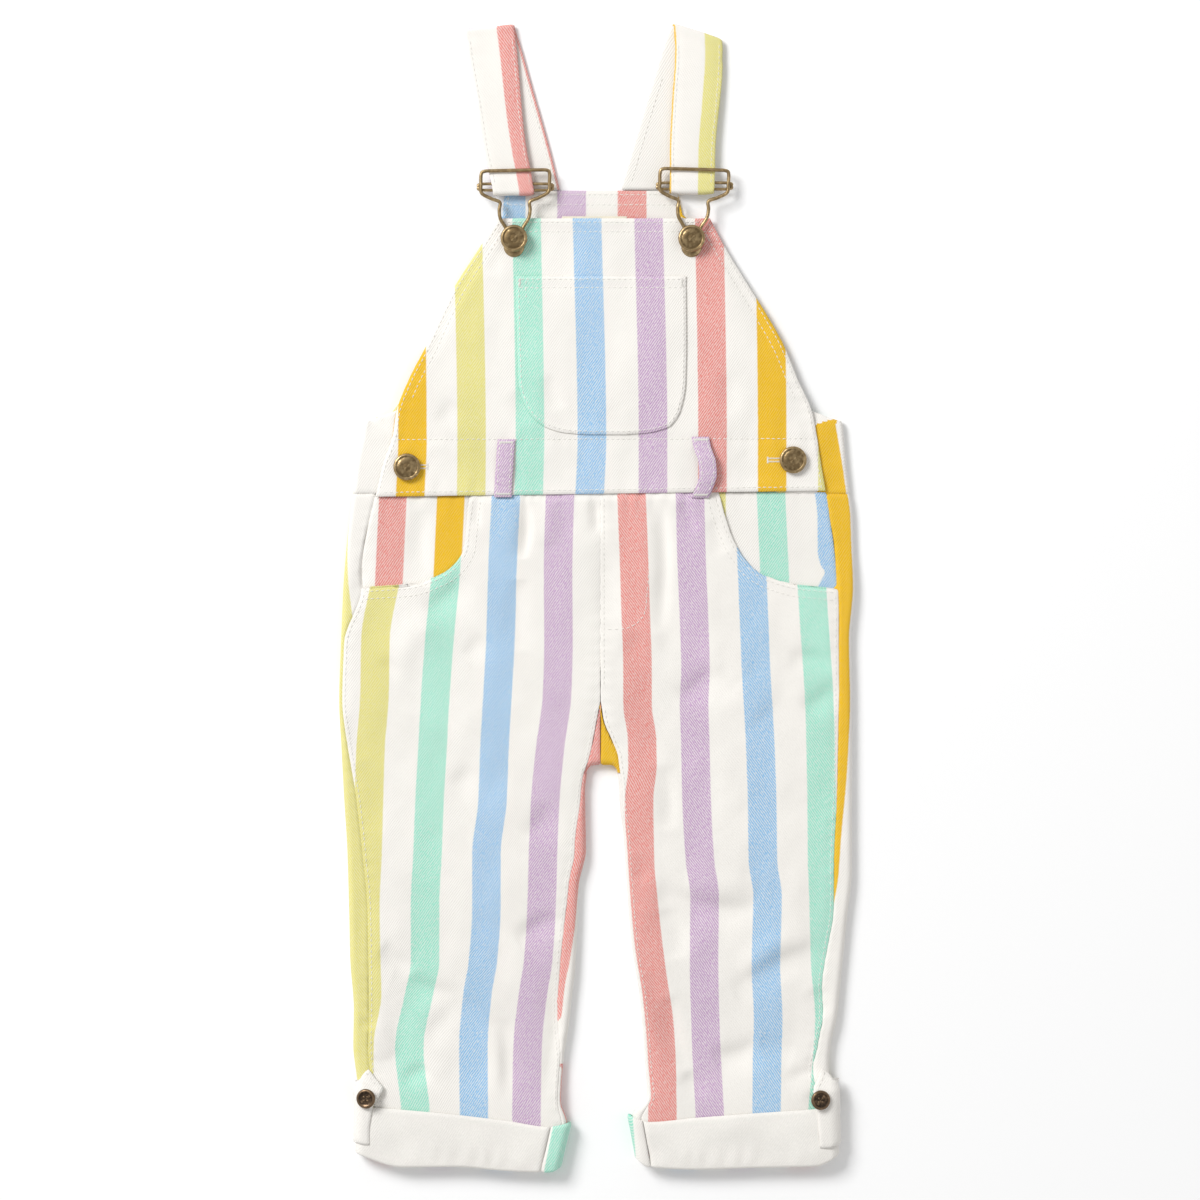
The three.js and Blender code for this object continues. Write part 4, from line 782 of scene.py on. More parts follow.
def back_stripe(leg, rows, grid, outer_q, inner_q):
    edge = along(leg.edge_stripe, "y", "s", rows.s)[:, None]
    outer = edge - outer_q / STRIPE_PERIOD
    below = along(leg.inner_stripe, "y", "s", rows.s)
    from_inner = np.where(rows.turn > 0, leg.flap_stripe, below)[:, None]
    slope = np.where(rows.turn > 0, 0.2, 1.0)[:, None]
    inner = from_inner + slope * inner_q / STRIPE_PERIOD
    middle = grid.shape[1] - outer.shape[1] - inner.shape[1]
    share = np.linspace(0, 1, middle + 2)[1:-1]
    floor = mix(outer[:, -1:], inner[:, :1], share)
    return np.concatenate([outer, floor, inner], axis=1)


def relief_share(leg, s, x):
    """How much of the creases reaches a place: none at the leg's sides and at the hem."""
    from_outer = np.abs(x - along(leg.outer, "y", "x", s))
    from_inner = np.where(s > CROTCH_START_Y, 100, np.abs(x - along(leg.inner, "y", "x", s)))
    return smooth(1.5, 9, np.minimum(from_outer, from_inner)) * (1 - smooth(-268, -292, s))


def leg_top(leg, s, x, y):
    """Height of the front panel at level s, real place x, y."""
    from_outer = np.abs(x - along(leg.outer, "y", "x", s))
    inner_x = along(leg.inner, "y", "x", s)
    from_inner = np.where(s > CROTCH_START_Y, 100, np.abs(x - inner_x))
    roll = np.where(from_outer < from_inner, side_height(s), LEG_HEIGHT) / 2
    near = np.clip(np.minimum(from_outer, from_inner) / roll, 0, 1)
    rounded = roll * (1 + np.sqrt(np.clip(1 - (1 - near) ** 2, 0, 1)))
    full = np.where(near >= 1, LEG_HEIGHT, rounded)
    return lift(s) + full + relief(x, y) * relief_share(leg, s, x)


def ruled(start, end, step=STEP):
    """A grid between two edge lines with the same number of points."""
    width = np.linalg.norm(end - start, axis=1)
    run = shares(np.zeros(len(width)), width, step)
    return start[:, None] + (end - start)[:, None] * (run / width[:, None])[:, :, None]


def run_along(line):
    """How far along a line each of its points lies."""
    return np.concatenate([[0], np.cumsum(np.linalg.norm(np.diff(line, axis=0), axis=1))])


def even_curve(rows, by, count):
    """Points spread evenly along a curve that is given by a table of y and x."""
    ys = np.linspace(rows[by].min(), rows[by].max(), 400)
    xs = along(rows, by, "x", ys)
    run = np.concatenate([[0], np.cumsum(np.hypot(np.diff(xs), np.diff(ys)))])
    at = np.linspace(0, run[-1], count)
    return np.interp(at, run, xs), np.interp(at, run, ys)


def front_leg(leg):
    foot = leg.pocket["y"].min()
    low = np.arange(CUFF_HEM_Y, foot, STEP)
    pocket_x, pocket_y = even_curve(leg.pocket, "y", 56)
    high = np.linspace(foot, WAIST_Y, 56)
    level = np.concatenate([low, high])
    seam = along(leg.outer, "y", "seam", low) + GAP / 2
    outer_x = np.concatenate([along(leg.outer, "y", "x", low) - leg.side * seam, pocket_x])
    outer_s = np.concatenate([low, pocket_y])
    inner_seam = along(leg.inner, "y", "seam", level) + GAP / 2
    inner_side = along(leg.inner, "y", "x", level) + leg.side * inner_seam
    crotch = along(leg.crotch, "y", "x", level) + leg.side * GAP
    closed = smooth(-44, -20, level)
    over_centre = 1.3 if leg.side < 0 else -0.2
    centre = CENTRE_X + over_centre * closed + leg.side * GAP / 2 * (1 - closed)
    inner_x = np.where(level < CROTCH_START_Y, inner_side, np.where(level < APEX_Y, crotch, centre))
    plane = ruled(np.stack([outer_x, outer_s], axis=1), np.stack([inner_x, level], axis=1))
    x, s = plane[..., 0], plane[..., 1]
    y = row_y(leg, s, x)
    top_end = smooth(30, WAIST_Y - 0.5, s)
    y = y + top_end * (waist_y(x) + WAIST_TUCK - WAIST_Y)
    z = leg_top(leg, s, x, y)
    z = z - WAIST_SINK * smooth(-4.0, -0.2, y - waist_y(x)) * (1 + 0.25 * np.sin(x / 3.1) * np.sin(x / 11))
    z = z + waist_puckers(x, y) + leg_seams(s, x, y, outer_x[:, None], inner_x[:, None])
    if leg.side < 0:
        z = z - 0.7 * (1 - smooth(0, 1.9, np.abs(x - inner_x[:, None]))) * closed[:, None]
    return np.stack([x, y, z], axis=-1)


WAIST_TUCK = 2.4
WAIST_SINK = 1.2


def waist_puckers(x, y):
    """Small pleats that the waist seam pulls into the trousers."""
    down = waist_y(x) - y
    return puckers(down, x, 4.2, 11, 0.3, 9.0) + puckers(down, x, 1.3, 5, 0.2, 5.0)


def leg_seams(s, x, y, outer_x, inner_x):
    """Puckers and ditches beside the side seam, the inside leg seam and the centre seam."""
    from_outer = np.abs(x - outer_x)
    from_inner = np.abs(x - inner_x)
    below_pocket = 1 - smooth(0, 6, s)
    inside = smooth(0, 1.5, from_outer)
    outer = (puckers(from_outer, y, 0.7, 5) + ditch(from_outer - 2.2)) * inside * below_pocket
    pocket = (puckers(from_outer, y + x, 5.2, 4, 0.14) + ditch(from_outer - 2.0, 0.2)) * (1 - below_pocket)
    inner = (puckers(from_inner, y, 3.3, 6) + ditch(from_inner - 2.0)) * smooth(0, 1.5, from_inner)
    return outer + inner + pocket * inside


def build_leg(leg):
    behind = f"back_leg_{leg.name}"
    back, stripe, across = back_leg(leg)
    cloth_piece(behind, back, stripe, (0.168, 0.395), 0.062, weave=(across, back[..., 1]), up=False)
    front = front_leg(leg)
    stripe = stripe_at(front[..., 0], front[..., 1], leg.stripes, leg.first, leg.way)
    weave = stripe * STRIPE_PERIOD, front[..., 1]
    cloth_piece(f"front_leg_{leg.name}", front, stripe, (0.135, 0.38), 0.044, behind, weave)


def facing(leg):
    """The pocket's back layer, which shows in the curved opening."""
    s = shares(-2.0, WAIST_Y - 1.0)[0]
    edge = along(leg.outer, "y", "x", s) - leg.side * (along(leg.outer, "y", "seam", s) + 0.1)
    under = mix(4, 8, smooth(4, 12, s))
    inner = along(leg.pocket, "y", "x", np.maximum(s, 11)) - leg.side * under
    x = shares(edge, inner)
    s = s[:, None] + 0 * x
    y = s + smooth(30, WAIST_Y - 1, s) * (waist_y(x) - WAIST_Y + 1.2)
    from_edge = np.abs(x - edge[:, None])
    z = LEG_HEIGHT - 1.95 + relief(x, y) * 0.7 + puckers(from_edge, y, 1.9, 4, 0.18)
    z = z + 0.8 * waist_puckers(x, y)
    if leg.side < 0:
        stripe = PINK + (x + 116.5 + 0.047 * (55.6 - y)) / 33.1
    else:
        centres = table(
            "y c0 c1 c2", (60, 65.3, 99.2, 132.2), (48, 65.3, 99.7, 133.8), (26.5, 65.3, 100.7, 134),
            (18.5, 65.3, 101.1, 135.7), (14.5, 65.3, 101.2, 138.2), (5, 65.3, 101.7, 133.9),
            (0, 65.3, 101.9, 133.9),
        )
        stripe = stripe_at(x, y, centres, LIME, 1)
    grid = np.stack([x, y, z], axis=-1)
    cloth_piece(f"pocket_facing_{leg.name}", grid, stripe, (0.07, 0.062), on=f"back_leg_{leg.name}")


# Turn-ups

def cuff_grid(leg, end, angle, across, section):
    """Points round a turn-up.

    Each place has its end, angle and share across, each section part its share, offset and tuck.
    """
    outer_end = np.array(end) == "outer"
    angle, across = np.array(angle)[:, None], np.array(across)[:, None]
    share, offset, tuck = (np.array(column)[None, :] for column in section)
    outer_x = mix(leg.outer_top, leg.outer_hem, share)
    inner_x = mix(leg.inner_top, leg.inner_hem, share)
    roll = CUFF_HEIGHT / 2
    normal = np.where(outer_end, leg.side, -leg.side)[:, None]
    edge = np.where(outer_end[:, None], outer_x, inner_x)
    centre = edge - normal * roll
    other = np.where(outer_end[:, None], inner_x + leg.side * roll, outer_x - leg.side * roll)
    base = mix(centre, other, across)
    radius = roll - offset
    x = base + normal * radius * np.cos(angle)
    shown = base + normal * roll * np.cos(angle)
    y = mix(along(leg.cuff, "x", "top", shown), along(leg.cuff, "x", "hem", shown) + CUFF_ROLL, share) + tuck
    return np.stack([x, y, roll + radius * np.sin(angle)], axis=-1)


def cuff_section():
    """Down the outside of a turn-up, round the fold at the hem and back up inside."""
    down = np.concatenate([[0.0, 0.02, 0.045], np.linspace(0.08, 1, 15)])
    turn = np.linspace(0, math.pi, 11)[1:]
    share = np.concatenate([down, np.ones(11)])
    offset = np.concatenate([0 * down, CUFF_ROLL * (1 - np.cos(turn)), [2 * CUFF_ROLL]])
    tuck = np.concatenate([0 * down, -CUFF_ROLL * np.sin(turn), [CUFF_TUCK]])
    return share, offset, tuck


def build_cuff(leg, half, places, seed, width, material):
    end, angle, across = zip(*places)
    share, offset, tuck = cuff_section()
    grid = cuff_grid(leg, end, angle, across, (share, offset, tuck))
    top = np.clip(np.sin(np.array(angle)), 0, 1)[:, None]
    x, y = grid[..., 0], grid[..., 1]
    body = 4 * share * (1 - share)
    soft = waves(x, y, seed, 34, 0.42) * body + puckers((1 - share) * 28 - 4, x, seed + 2, 6, 0.3, 11)
    grid[..., 2] += soft * top * (share < 1) + 0.6 * body * top
    stripe = turned_stripe(leg, x, places, share)
    cloth_piece(
        f"cuff_{half}_{leg.name}", grid, stripe, (width, 0.034), on=f"{half}_leg_{leg.name}",
        weave=(x, y + grid[..., 2]), look=(material, "turned_up_cloth"), thickness=1.35,
    )


def turned_stripe(leg, x, places, share):
    """Mint where the turn-up's back half shows at the inner side, white elsewhere."""
    inner_end = np.array([end == "inner" for end, _, _ in places])[:, None]
    away = np.abs(x - mix(leg.inner_top, leg.inner_hem, share))
    wide = mix(*leg.turned_stripe, share)
    return np.where(inner_end, MINT + STRIPE_SHARE + (away - wide) / STRIPE_PERIOD, 0.5 + 0 * x)


def build_cuffs(leg):
    width = abs(leg.outer_top - leg.inner_top) - CUFF_HEIGHT
    seam = (leg.cuff_seam - CUFF_HEIGHT / 2) / width
    front = [("outer", a, 0.0) for a in np.linspace(0, QUARTER, 8)]
    front += [("outer", QUARTER, a) for a in np.linspace(0, 1 - seam - GAP / width, 60)[1:]]
    back = [("inner", QUARTER, a) for a in np.linspace(seam, 0, 5)[:-1]]
    back += [("inner", a, 0.0) for a in np.linspace(QUARTER, -QUARTER, 16)]
    back += [("inner", -QUARTER, a) for a in np.linspace(0, 1, 50)[1:-1]]
    back += [("outer", a, 0.0) for a in np.linspace(-QUARTER, -0.05, 8)]
    build_cuff(leg, "front", front, 11 + leg.side, 0.118, TURNED)
    build_cuff(leg, "back", back, 21 + leg.side, 0.145, STRIPED)


TAB_FALL = 0.8  # how steeply the tab's outer edge falls from its point
TAB_LIES = 0.73  # height of its pointed end against the turn-up's
TAB_INWARD = 2.1
TAB_GAP = 0.5
TAB_THICK = 1.2


def build_tab(leg):
    """The strip that buttons a turn-up to the leg's side, with its pointed end above."""
    point = leg.outer_top - leg.side * leg.tab["width"][-1]
    k = np.linspace(0, 7, 57)
    share, above, width = (np.interp(k, leg.tab["k"], leg.tab[name]) for name in ("share", "above", "width"))
    roll = CUFF_HEIGHT / 2
    angles = np.linspace(0.25, QUARTER, 9)
    flat = np.linspace(0, 1, 7)[1:]
    section = (share, np.full(len(k), -TAB_GAP - TAB_THICK), 0 * k)
    angle = list(angles) + [QUARTER] * len(flat)
    grid = cuff_grid(leg, ["outer"] * len(angle), angle, [0.0] * len(angle), section).transpose(1, 0, 2)
    inward = (width - roll)[:, None] * np.concatenate([0 * angles, flat])
    grid[..., 0] -= leg.side * inward
    fall = TAB_FALL * np.maximum(0, leg.side * (grid[..., 0] - point)) * smooth(5.5, 7, k)[:, None]
    grid[..., 1] += above[:, None] - fall
    lying = smooth(3.8, 6.5, k)[:, None]
    grid[..., 0] -= leg.side * TAB_INWARD * lying * np.cos(np.array(angle))
    grid[..., 2] *= mix(1, TAB_LIES, lying)
    grid[..., 2] += waves(grid[..., 0], grid[..., 1], 31, 15, 0.15)
    cloth_piece(
        f"cuff_tab_{leg.name}", grid, np.full(grid.shape[:2], 0.5), (0.016, 0.046),
        on=f"cuff_front_{leg.name}", look=(TURNED, "turned_up_cloth"), thickness=TAB_THICK,
    )


# Upper body

def bib_top(x, y):
    height = mix(LEG_HEIGHT, BIB_TOP_HEIGHT, smooth(118, 205, y))
    edge = np.minimum(x - along(BIB, "y", "right", y), along(BIB, "y", "left", y) - x)
    droop = 0.9 * (1 - smooth(0, 11, edge)) * smooth(112, 140, y)
    sewn = puckers(edge, y, 2.7, 8, 0.22) + ditch(edge - 6.0, 0.2) + ditch(BIB_TOP_Y - y - 7.4, 0.2)
    belt = ditch(y - 90.1, 0.3) + puckers(y - 90, x, 1.1, 6, 0.16, 10) + puckers(y - 62, x, 6.1, 8, 0.2, 11)
    return height - droop + relief(x, y) * smooth(0, 9, edge) * 0.85 + (sewn + belt) * smooth(0, 1.5, edge)


def bib_front():
    y = shares(waist_y(0) - 0.1, BIB_TOP_Y)[0]
    x = shares(along(BIB, "y", "right", y), along(BIB, "y", "left", y))
    y = y[:, None] + (waist_y(x) - waist_y(0)) * (1 - smooth(60, 90, y[:, None]))
    z = bib_top(x, y) + 0.35 * (1 - smooth(0, 10, y - waist_y(x)))
    grid = np.stack([x, y, z], axis=-1)
    cloth_piece("bib_front", grid, bib_stripe(x, y), (0.258, 0.158), 0.0325, "upper_back", thickness=1.1)


def patch_pocket():
    y = shares(PATCH["y"].min(), PATCH["y"].max())[0]
    rows = 70
    right_x, right_y = even_curve({"y": PATCH["y"], "x": PATCH["right"]}, "y", rows)
    left_x, left_y = even_curve({"y": PATCH["y"], "x": PATCH["left"]}, "y", rows)
    start = np.stack([right_x + PATCH_X, right_y], axis=1)
    end = np.stack([left_x + PATCH_X, left_y], axis=1)
    plane = ruled(start, end)
    x, y = plane[..., 0], plane[..., 1]
    from_top = PATCH["y"].max() - y
    hem = ditch(from_top - 6.5, 0.2) + puckers(from_top - 3, x, 3.9, 5, 0.1, 9)
    z = bib_top(x, y) + 1.25 + hem + 0.15 * smooth(6.5, 0, from_top)
    grid = np.stack([x, y, z], axis=-1)
    cloth_piece("bib_pocket", grid, bib_stripe(x, y), (0.098, 0.0905), on="bib_front", thickness=0.85)


def upper_back():
    """A flat sheet on the floor whose sides wrap round to the front, up to the arm openings."""
    low = np.arange(WAIST_Y - 0.4, WRAP_TOP_Y, STEP)
    step_up = np.linspace(WRAP_TOP_Y, 105, 5)
    high = np.arange(105 + STEP, BACK["y"].max(), STEP)
    y = np.concatenate([low, step_up, high, BACK["y"][-1:]])
    wrapped = y <= WRAP_TOP_Y
    roll = SIDE_HEIGHT / 2
    right = np.where(wrapped, along(BACK, "y", "right", y), np.interp(y, BACK["y"], BACK["right"]) - roll)
    left = np.where(wrapped, along(BACK, "y", "left", y), np.interp(y, BACK["y"], BACK["left"]) + roll)
    columns = [back_side(-1, right, y, roll)]
    start, end = right + roll, left - roll
    share = np.linspace(0, 1, 130)[1:-1]
    floor_x = mix(start[:, None], end[:, None], share)
    columns.append(np.stack([floor_x, y[:, None] + 0 * floor_x, 0 * floor_x], axis=-1))
    columns.append(back_side(1, left, y, roll)[:, ::-1])
    grid = np.concatenate(columns, axis=1)
    side = columns[0].shape[1]
    valid = np.ones(grid.shape[:2], bool)
    valid[~wrapped, : side - 1] = False
    valid[~wrapped, 1 - side :] = False
    stripe = back_body_stripe(grid, side, right)
    weave = grid[..., 0] + grid[..., 2], grid[..., 1]
    cloth_piece("upper_back", grid, stripe, (0.36, 0.174), 0.043, weave=weave, up=False, valid=valid)


def back_side(sign, edge, y, roll):
    """The wrap on one side: from its hidden edge on top, round the side, to the floor."""
    flat = np.concatenate([[BACK_WRAP, BACK_WRAP - 0.6], np.linspace(BACK_WRAP - 1.6, roll + 0.4, 24)])
    angle = np.linspace(QUARTER, -QUARTER, 12)
    away = np.concatenate([flat, roll - roll * np.cos(angle)])
    height = np.concatenate([np.full(len(flat), SIDE_HEIGHT), roll + roll * np.sin(angle)])
    x = edge[:, None] - sign * away
    near_top = smooth(WRAP_TOP_Y - 25, WRAP_TOP_Y, y)[:, None]
    climb = np.minimum(WRAP_CLIMB, WRAP_SLOPE * np.maximum(0, away - roll)) * near_top
    y = y[:, None] + climb
    on_top = smooth(0.5, 4, away) * (height > roll)
    soft = waves(x, y, 41, 18, 0.25) + puckers(WRAP_TOP_Y - y + climb, x, 0.4, 5, 0.2, 6)
    soft = soft - 0.6 * smooth(0, 1.6, y - turned_in_from(sign, x))
    return np.stack([x, y, height + soft * on_top], axis=-1)


def turned_in_from(sign, x):
    """The line above which a wrap shows the wrong side of its cloth."""
    return 98.9 + 0.25 * (x - 124.5) if sign > 0 else 101.5 - 0.43 * (x + 131.3)


def back_body_stripe(grid, side, right):
    x, y = grid[..., 0], grid[..., 1]
    stripe = 4 + (x + 14.5) / STRIPE_PERIOD
    from_right = x - right[:, None]
    top_right = 0.5 + (9 - from_right) / STRIPE_PERIOD
    gold = table("y x", (105, 126.5), (100.6, 127.4), (63.6, 133.4), (45.9, 135.4))
    top_left = 6 - (x - along(gold, "y", "x", y)) / STRIPE_PERIOD
    top_left = mix(top_left, 6.5, smooth(-1.3, 1.3, y - turned_in_from(1, x)))
    stripe[:, : side - 6] = top_right[:, : side - 6]
    stripe[:, 6 - side :] = top_left[:, 6 - side :]
    return stripe


def back_label():
    y = shares(196.0, 217.5, 1.5)[0]
    x = shares(np.full(len(y), -20.0), np.full(len(y), 17.0), 1.5)
    y = y[:, None] + 0 * x
    z = CLOTH + 1.4 + 1.6 * smooth(206, 217, y) + waves(x, y, 51, 16, 0.15)
    cloth_piece(
        "back_label", np.stack([x, y, z], axis=-1), 0.5 + 0 * x, (0.037, 0.0215), on="upper_back",
        look=(TAPE, "label_cloth"), thickness=0.6,
    )


LOOP_WIDTH = 9.8
LOOP_ROWS = {
    "right": table(
        "y x rise", (57.2, -53.6, 0), (66, -53.3, 0.2), (75, -52.7, 0.4), (84, -52.1, 0.2),
        (90.2, -51.6, 0),
    ),
    "left": table(
        "y x rise", (56.6, 58.6, 0), (62, 61, 1.6), (70, 63.2, 3), (78, 62.6, 3), (85, 60.2, 1.4),
        (91.8, 58.8, 0),
    ),
}


def belt_loop(name, rows):
    y = shares(rows["y"].min(), rows["y"].max(), 1.2)[0]
    middle = along(rows, "y", "x", y)
    x = shares(middle - LOOP_WIDTH / 2, middle + LOOP_WIDTH / 2, 1.0)
    across = (x - middle[:, None]) / LOOP_WIDTH
    y = y[:, None] + 0 * x
    rise = along(rows, "y", "rise", y)
    edges = ditch((np.abs(across) - 0.34) * LOOP_WIDTH, 0.25, 0.9)
    z = LEG_HEIGHT + 2 * GAP + 1.2 + rise + edges + puckers(across * 8, y, 1.7, 6, 0.12, 5)
    grid = np.stack([x, y, z], axis=-1)
    stripe = LILAC + across * 0.3
    cloth_piece(f"belt_loop_{name}", grid, stripe, (0.02, 0.036), 0.00036, "bib_front", thickness=1.1)


STRAP_ROWS = {
    "right": SimpleNamespace(
        back=table(
            "y right left", (232.8, -49, -21.3), (257, -55.2, -27.4), (289, -65, -36.5),
            (313, -71.8, -43.6), (323.8, -74.6, -47),
        ),
        front=table(
            "y right left", (324, -75, -47.4), (313, -73.8, -45.8), (277, -67.8, -42.8), (253, -64, -39.4),
            (243, -61.6, -37.7), (236, -60.2, -36.6), (231.9, -59.4, -36),
        ),
        slope=0.1,
    ),
    "left": SimpleNamespace(
        back=table(
            "y right left", (232.8, 13.8, 42), (262, 22.4, 49.6), (289, 30.4, 56.8), (313, 39, 65.4),
            (321.5, 42.8, 69.6),
        ),
        front=table(
            "y right left", (321.7, 44, 71.6), (310, 44.6, 71.6), (285, 43, 70.1), (253, 41.6, 67.2),
            (243, 41.6, 67), (236, 41.6, 66.8), (232.5, 41.6, 66.7),
        ),
        slope=-0.32,
    ),
}
STRAP_TOP = table("y z", (324, 3.9), (262, 5.3), (244, 5.6), (238, 7.4), (232, 7.4))
STRAP_END_Y = 246.0
STRAP_END_TOP = 3.3
STRAP_THICK = 1.5


def strap_rows(rows):
    """Right and left edge, y and z of each row, from the back up over the shoulder and down to the buckle."""
    parts = []

    def add(right, left, y, z):
        parts.append(np.stack(np.broadcast_arrays(right, left, y, z), axis=1))

    y = np.arange(rows.back["y"].min(), rows.back["y"].max(), STEP)
    add(along(rows.back, "y", "right", y), along(rows.back, "y", "left", y), y, 0.0)
    fold_y = rows.front["y"].max()
    roll = along(STRAP_TOP, "y", "z", fold_y) / 2
    t = np.linspace(0, 1, 10)
    angle = mix(-QUARTER, QUARTER, t)
    right = mix(rows.back["right"][-1], rows.front["right"][0], t)
    left = mix(rows.back["left"][-1], rows.front["left"][0], t)
    add(right, left, fold_y + roll * np.cos(angle), roll + roll * np.sin(angle))
    low_y = rows.front["y"].min()
    y = np.arange(fold_y - STEP, low_y, -STEP)
    right, left = along(rows.front, "y", "right", y), along(rows.front, "y", "left", y)
    add(right, left, y, along(STRAP_TOP, "y", "z", y))
    top = along(STRAP_TOP, "y", "z", low_y)
    low = STRAP_END_TOP - STRAP_THICK
    roll = (top - low) / 2
    angle = np.linspace(QUARTER, -QUARTER, 10)
    end = rows.front["right"][-1], rows.front["left"][-1]
    add(end[0], end[1], low_y - roll * np.cos(angle), (top + low) / 2 + roll * np.sin(angle))
    y = np.linspace(low_y, STRAP_END_Y, 9)[1:]
    shift = (end[0] - rows.front["right"][3]) / (low_y - rows.front["y"][3]) * (y - low_y)
    add(end[0] + shift, end[1] + shift, y, low)
    return np.concatenate(parts)


def strap(name, rows):
    line = strap_rows(rows)
    x = shares(line[:, 0], line[:, 1], 1.6)
    share = (x - line[:, :1]) / (line[:, 1:2] - line[:, :1])
    from_middle = x - line[:, :2].mean(axis=1, keepdims=True)
    y = line[:, 2:3] + rows.slope * from_middle * smooth(290, 320, line[:, 2:3])
    run = run_along(line[:, 2:])[:, None] + 0 * x
    grid = np.stack([x, y, line[:, 3:4] + 0 * x], axis=-1)
    quads = grid_quads(np.ones(x.shape, bool))
    normals = point_normals(grid.reshape(-1, 3), quads).reshape(grid.shape)
    if normals[1, 5, 2] > 0:
        normals = -normals
    on_top = smooth(2.0, 3.0, line[:, 3:4])
    from_edge = np.minimum(share, 1 - share) * 27
    soft = ditch(from_edge - 2.4, 0.35, 1.3) + puckers(from_edge, run, 1.2, 7, 0.2, 8)
    soft = soft + waves(x, run, 61, 30, 0.2)
    grid += normals * (soft * on_top * smooth(0, 1.2, from_edge))[..., None]
    cloth_piece(
        f"strap_{name}", grid, strap_stripe(name, share, on_top), (0.0275, 0.205), on="upper_back",
        weave=(x, run), up=False, thickness=STRAP_THICK,
    )


def strap_stripe(name, share, on_top):
    if name == "right":
        front = 4.76 + (share - 0.64) * 27 / STRIPE_PERIOD
        back = 4.76 + (share - 0.95) * 27 / STRIPE_PERIOD
    else:
        front = np.where(share < 0.3, 0.22 + share * 0.6, 0.76 + (share - 0.63) * 27 / STRIPE_PERIOD)
        back = 0.5 + 0 * share
    return np.where(on_top > 0.3, front, back)


# Metal parts

def tube(path, radius, sides=14, steps=8):
    """A closed ring of wire along a smooth path that returns to its start."""
    path = np.array(path, float)
    count = len(path)
    points = []
    for i in range(count):
        a, b, c, d = (path[(i + k) % count] for k in (-1, 0, 1, 2))
        for t in np.linspace(0, 1, steps, endpoint=False):
            square, cube = 2 * a - 5 * b + 4 * c - d, 3 * b - a - 3 * c + d
            points.append(0.5 * (2 * b + (c - a) * t + square * t**2 + cube * t**3))
    line = np.array(points)
    tangent = np.roll(line, -1, axis=0) - np.roll(line, 1, axis=0)
    tangent /= np.linalg.norm(tangent, axis=1, keepdims=True)
    across = np.cross([0, 0, 1], tangent)
    across /= np.linalg.norm(across, axis=1, keepdims=True)
    up = np.cross(tangent, across)
    turn = np.linspace(0, 2 * math.pi, sides, endpoint=False)[None, :, None]
    ring = line[:, None] + radius * (across[:, None] * np.cos(turn) + up[:, None] * np.sin(turn))
    return ring_mesh(ring, closed=True)


def ring_mesh(rings, closed):
    """Faces round a row of rings, with flat ends unless the row closes on itself."""
    rows, sides = rings.shape[:2]
    ids = np.arange(rows * sides).reshape(rows, sides)
    following = np.roll(ids, -1, axis=0) if closed else ids[1:]
    here = ids if closed else ids[:-1]
    quads = np.stack([here, np.roll(here, -1, axis=1), np.roll(following, -1, axis=1), following], axis=-1)
    faces = [list(q) for q in quads.reshape(-1, 4).tolist()]
    if not closed:
        faces += [ids[0][::-1].tolist(), ids[-1].tolist()]
    return rings.reshape(-1, 3), faces


def turned_part(profile, sides=48):
    """A part turned on a lathe, from its profile of radius and height."""
    radius, height = np.array(profile, float).T
    turn = np.linspace(0, 2 * math.pi, sides, endpoint=False)
    rings = np.stack(
        [radius[:, None] * np.cos(turn), radius[:, None] * np.sin(turn), height[:, None] + 0 * turn], axis=-1
    )
    return ring_mesh(rings, closed=False)


def merged(parts):
    points, faces, start = [], [], 0
    for part_points, part_faces in parts:
        points.append(part_points)
        faces += [[i + start for i in face] for face in part_faces]
        start += len(part_points)
    return np.concatenate(points), faces


def metal_piece(node, part, material):
    points, faces = part
    obj = new_object(node + "_metal", points, faces, material, {})
    fix_normals(obj)
    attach(obj, "root")
    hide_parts(node)


def fix_normals(obj):
    made = bmesh.new()
    made.from_mesh(obj.data)
    bmesh.ops.recalc_face_normals(made, faces=made.faces)
    made.to_mesh(obj.data)
    made.free()


WIRE = 1.0
BUCKLE_Z = 7.1
SLIDER_Z = 4.6
BUCKLES = (
    SimpleNamespace(name="right", x=-46.5, bar_y=243.4, button=(-47.3, 204.6), lean=0.02),
    SimpleNamespace(name="left", x=55.6, bar_y=244.0, button=(53.9, 204.6), lean=-0.03),
)
FRAME_HALF = table(
    "out down",
    (12, 0), (18, 0.3), (19.5, 2.2), (19.5, 7.5), (19, 12.6), (13.6, 15.8), (8.6, 18), (8.8, 22.5),
    (8, 27.5), (4.8, 33), (3.7, 38), (3.4, 42),
)
LOOP_FOOT = 44.5


def buckle_frame(buckle):
    def place(sign, out, down):
        x = buckle.x + sign * out + down / LOOP_FOOT * (buckle.button[0] - buckle.x)
        return x, buckle.bar_y - down + sign * out * buckle.lean, BUCKLE_Z

    half = list(zip(FRAME_HALF["out"], FRAME_HALF["down"]))
    path = [place(1, *point) for point in half]
    path.append(place(1, 0, LOOP_FOOT))
    path += [place(-1, *point) for point in reversed(half)]
    return tube(path, WIRE)


def buckle_slider(buckle):
    """A flattened ring behind the strap, whose ends curl round the frame's sides."""
    high, low, half = buckle.bar_y - 7.6, buckle.bar_y - 11, 19
    middle = (high + low) / 2
    corners = [
        (0, high), (half, high), (half + 2, middle), (half, low), (0, low), (-half, low),
        (-half - 2, middle), (-half, high),
    ]
    return tube([(buckle.x + x, y, SLIDER_Z) for x, y in corners], 0.85, 10)


CAP_RADIUS = 7.7


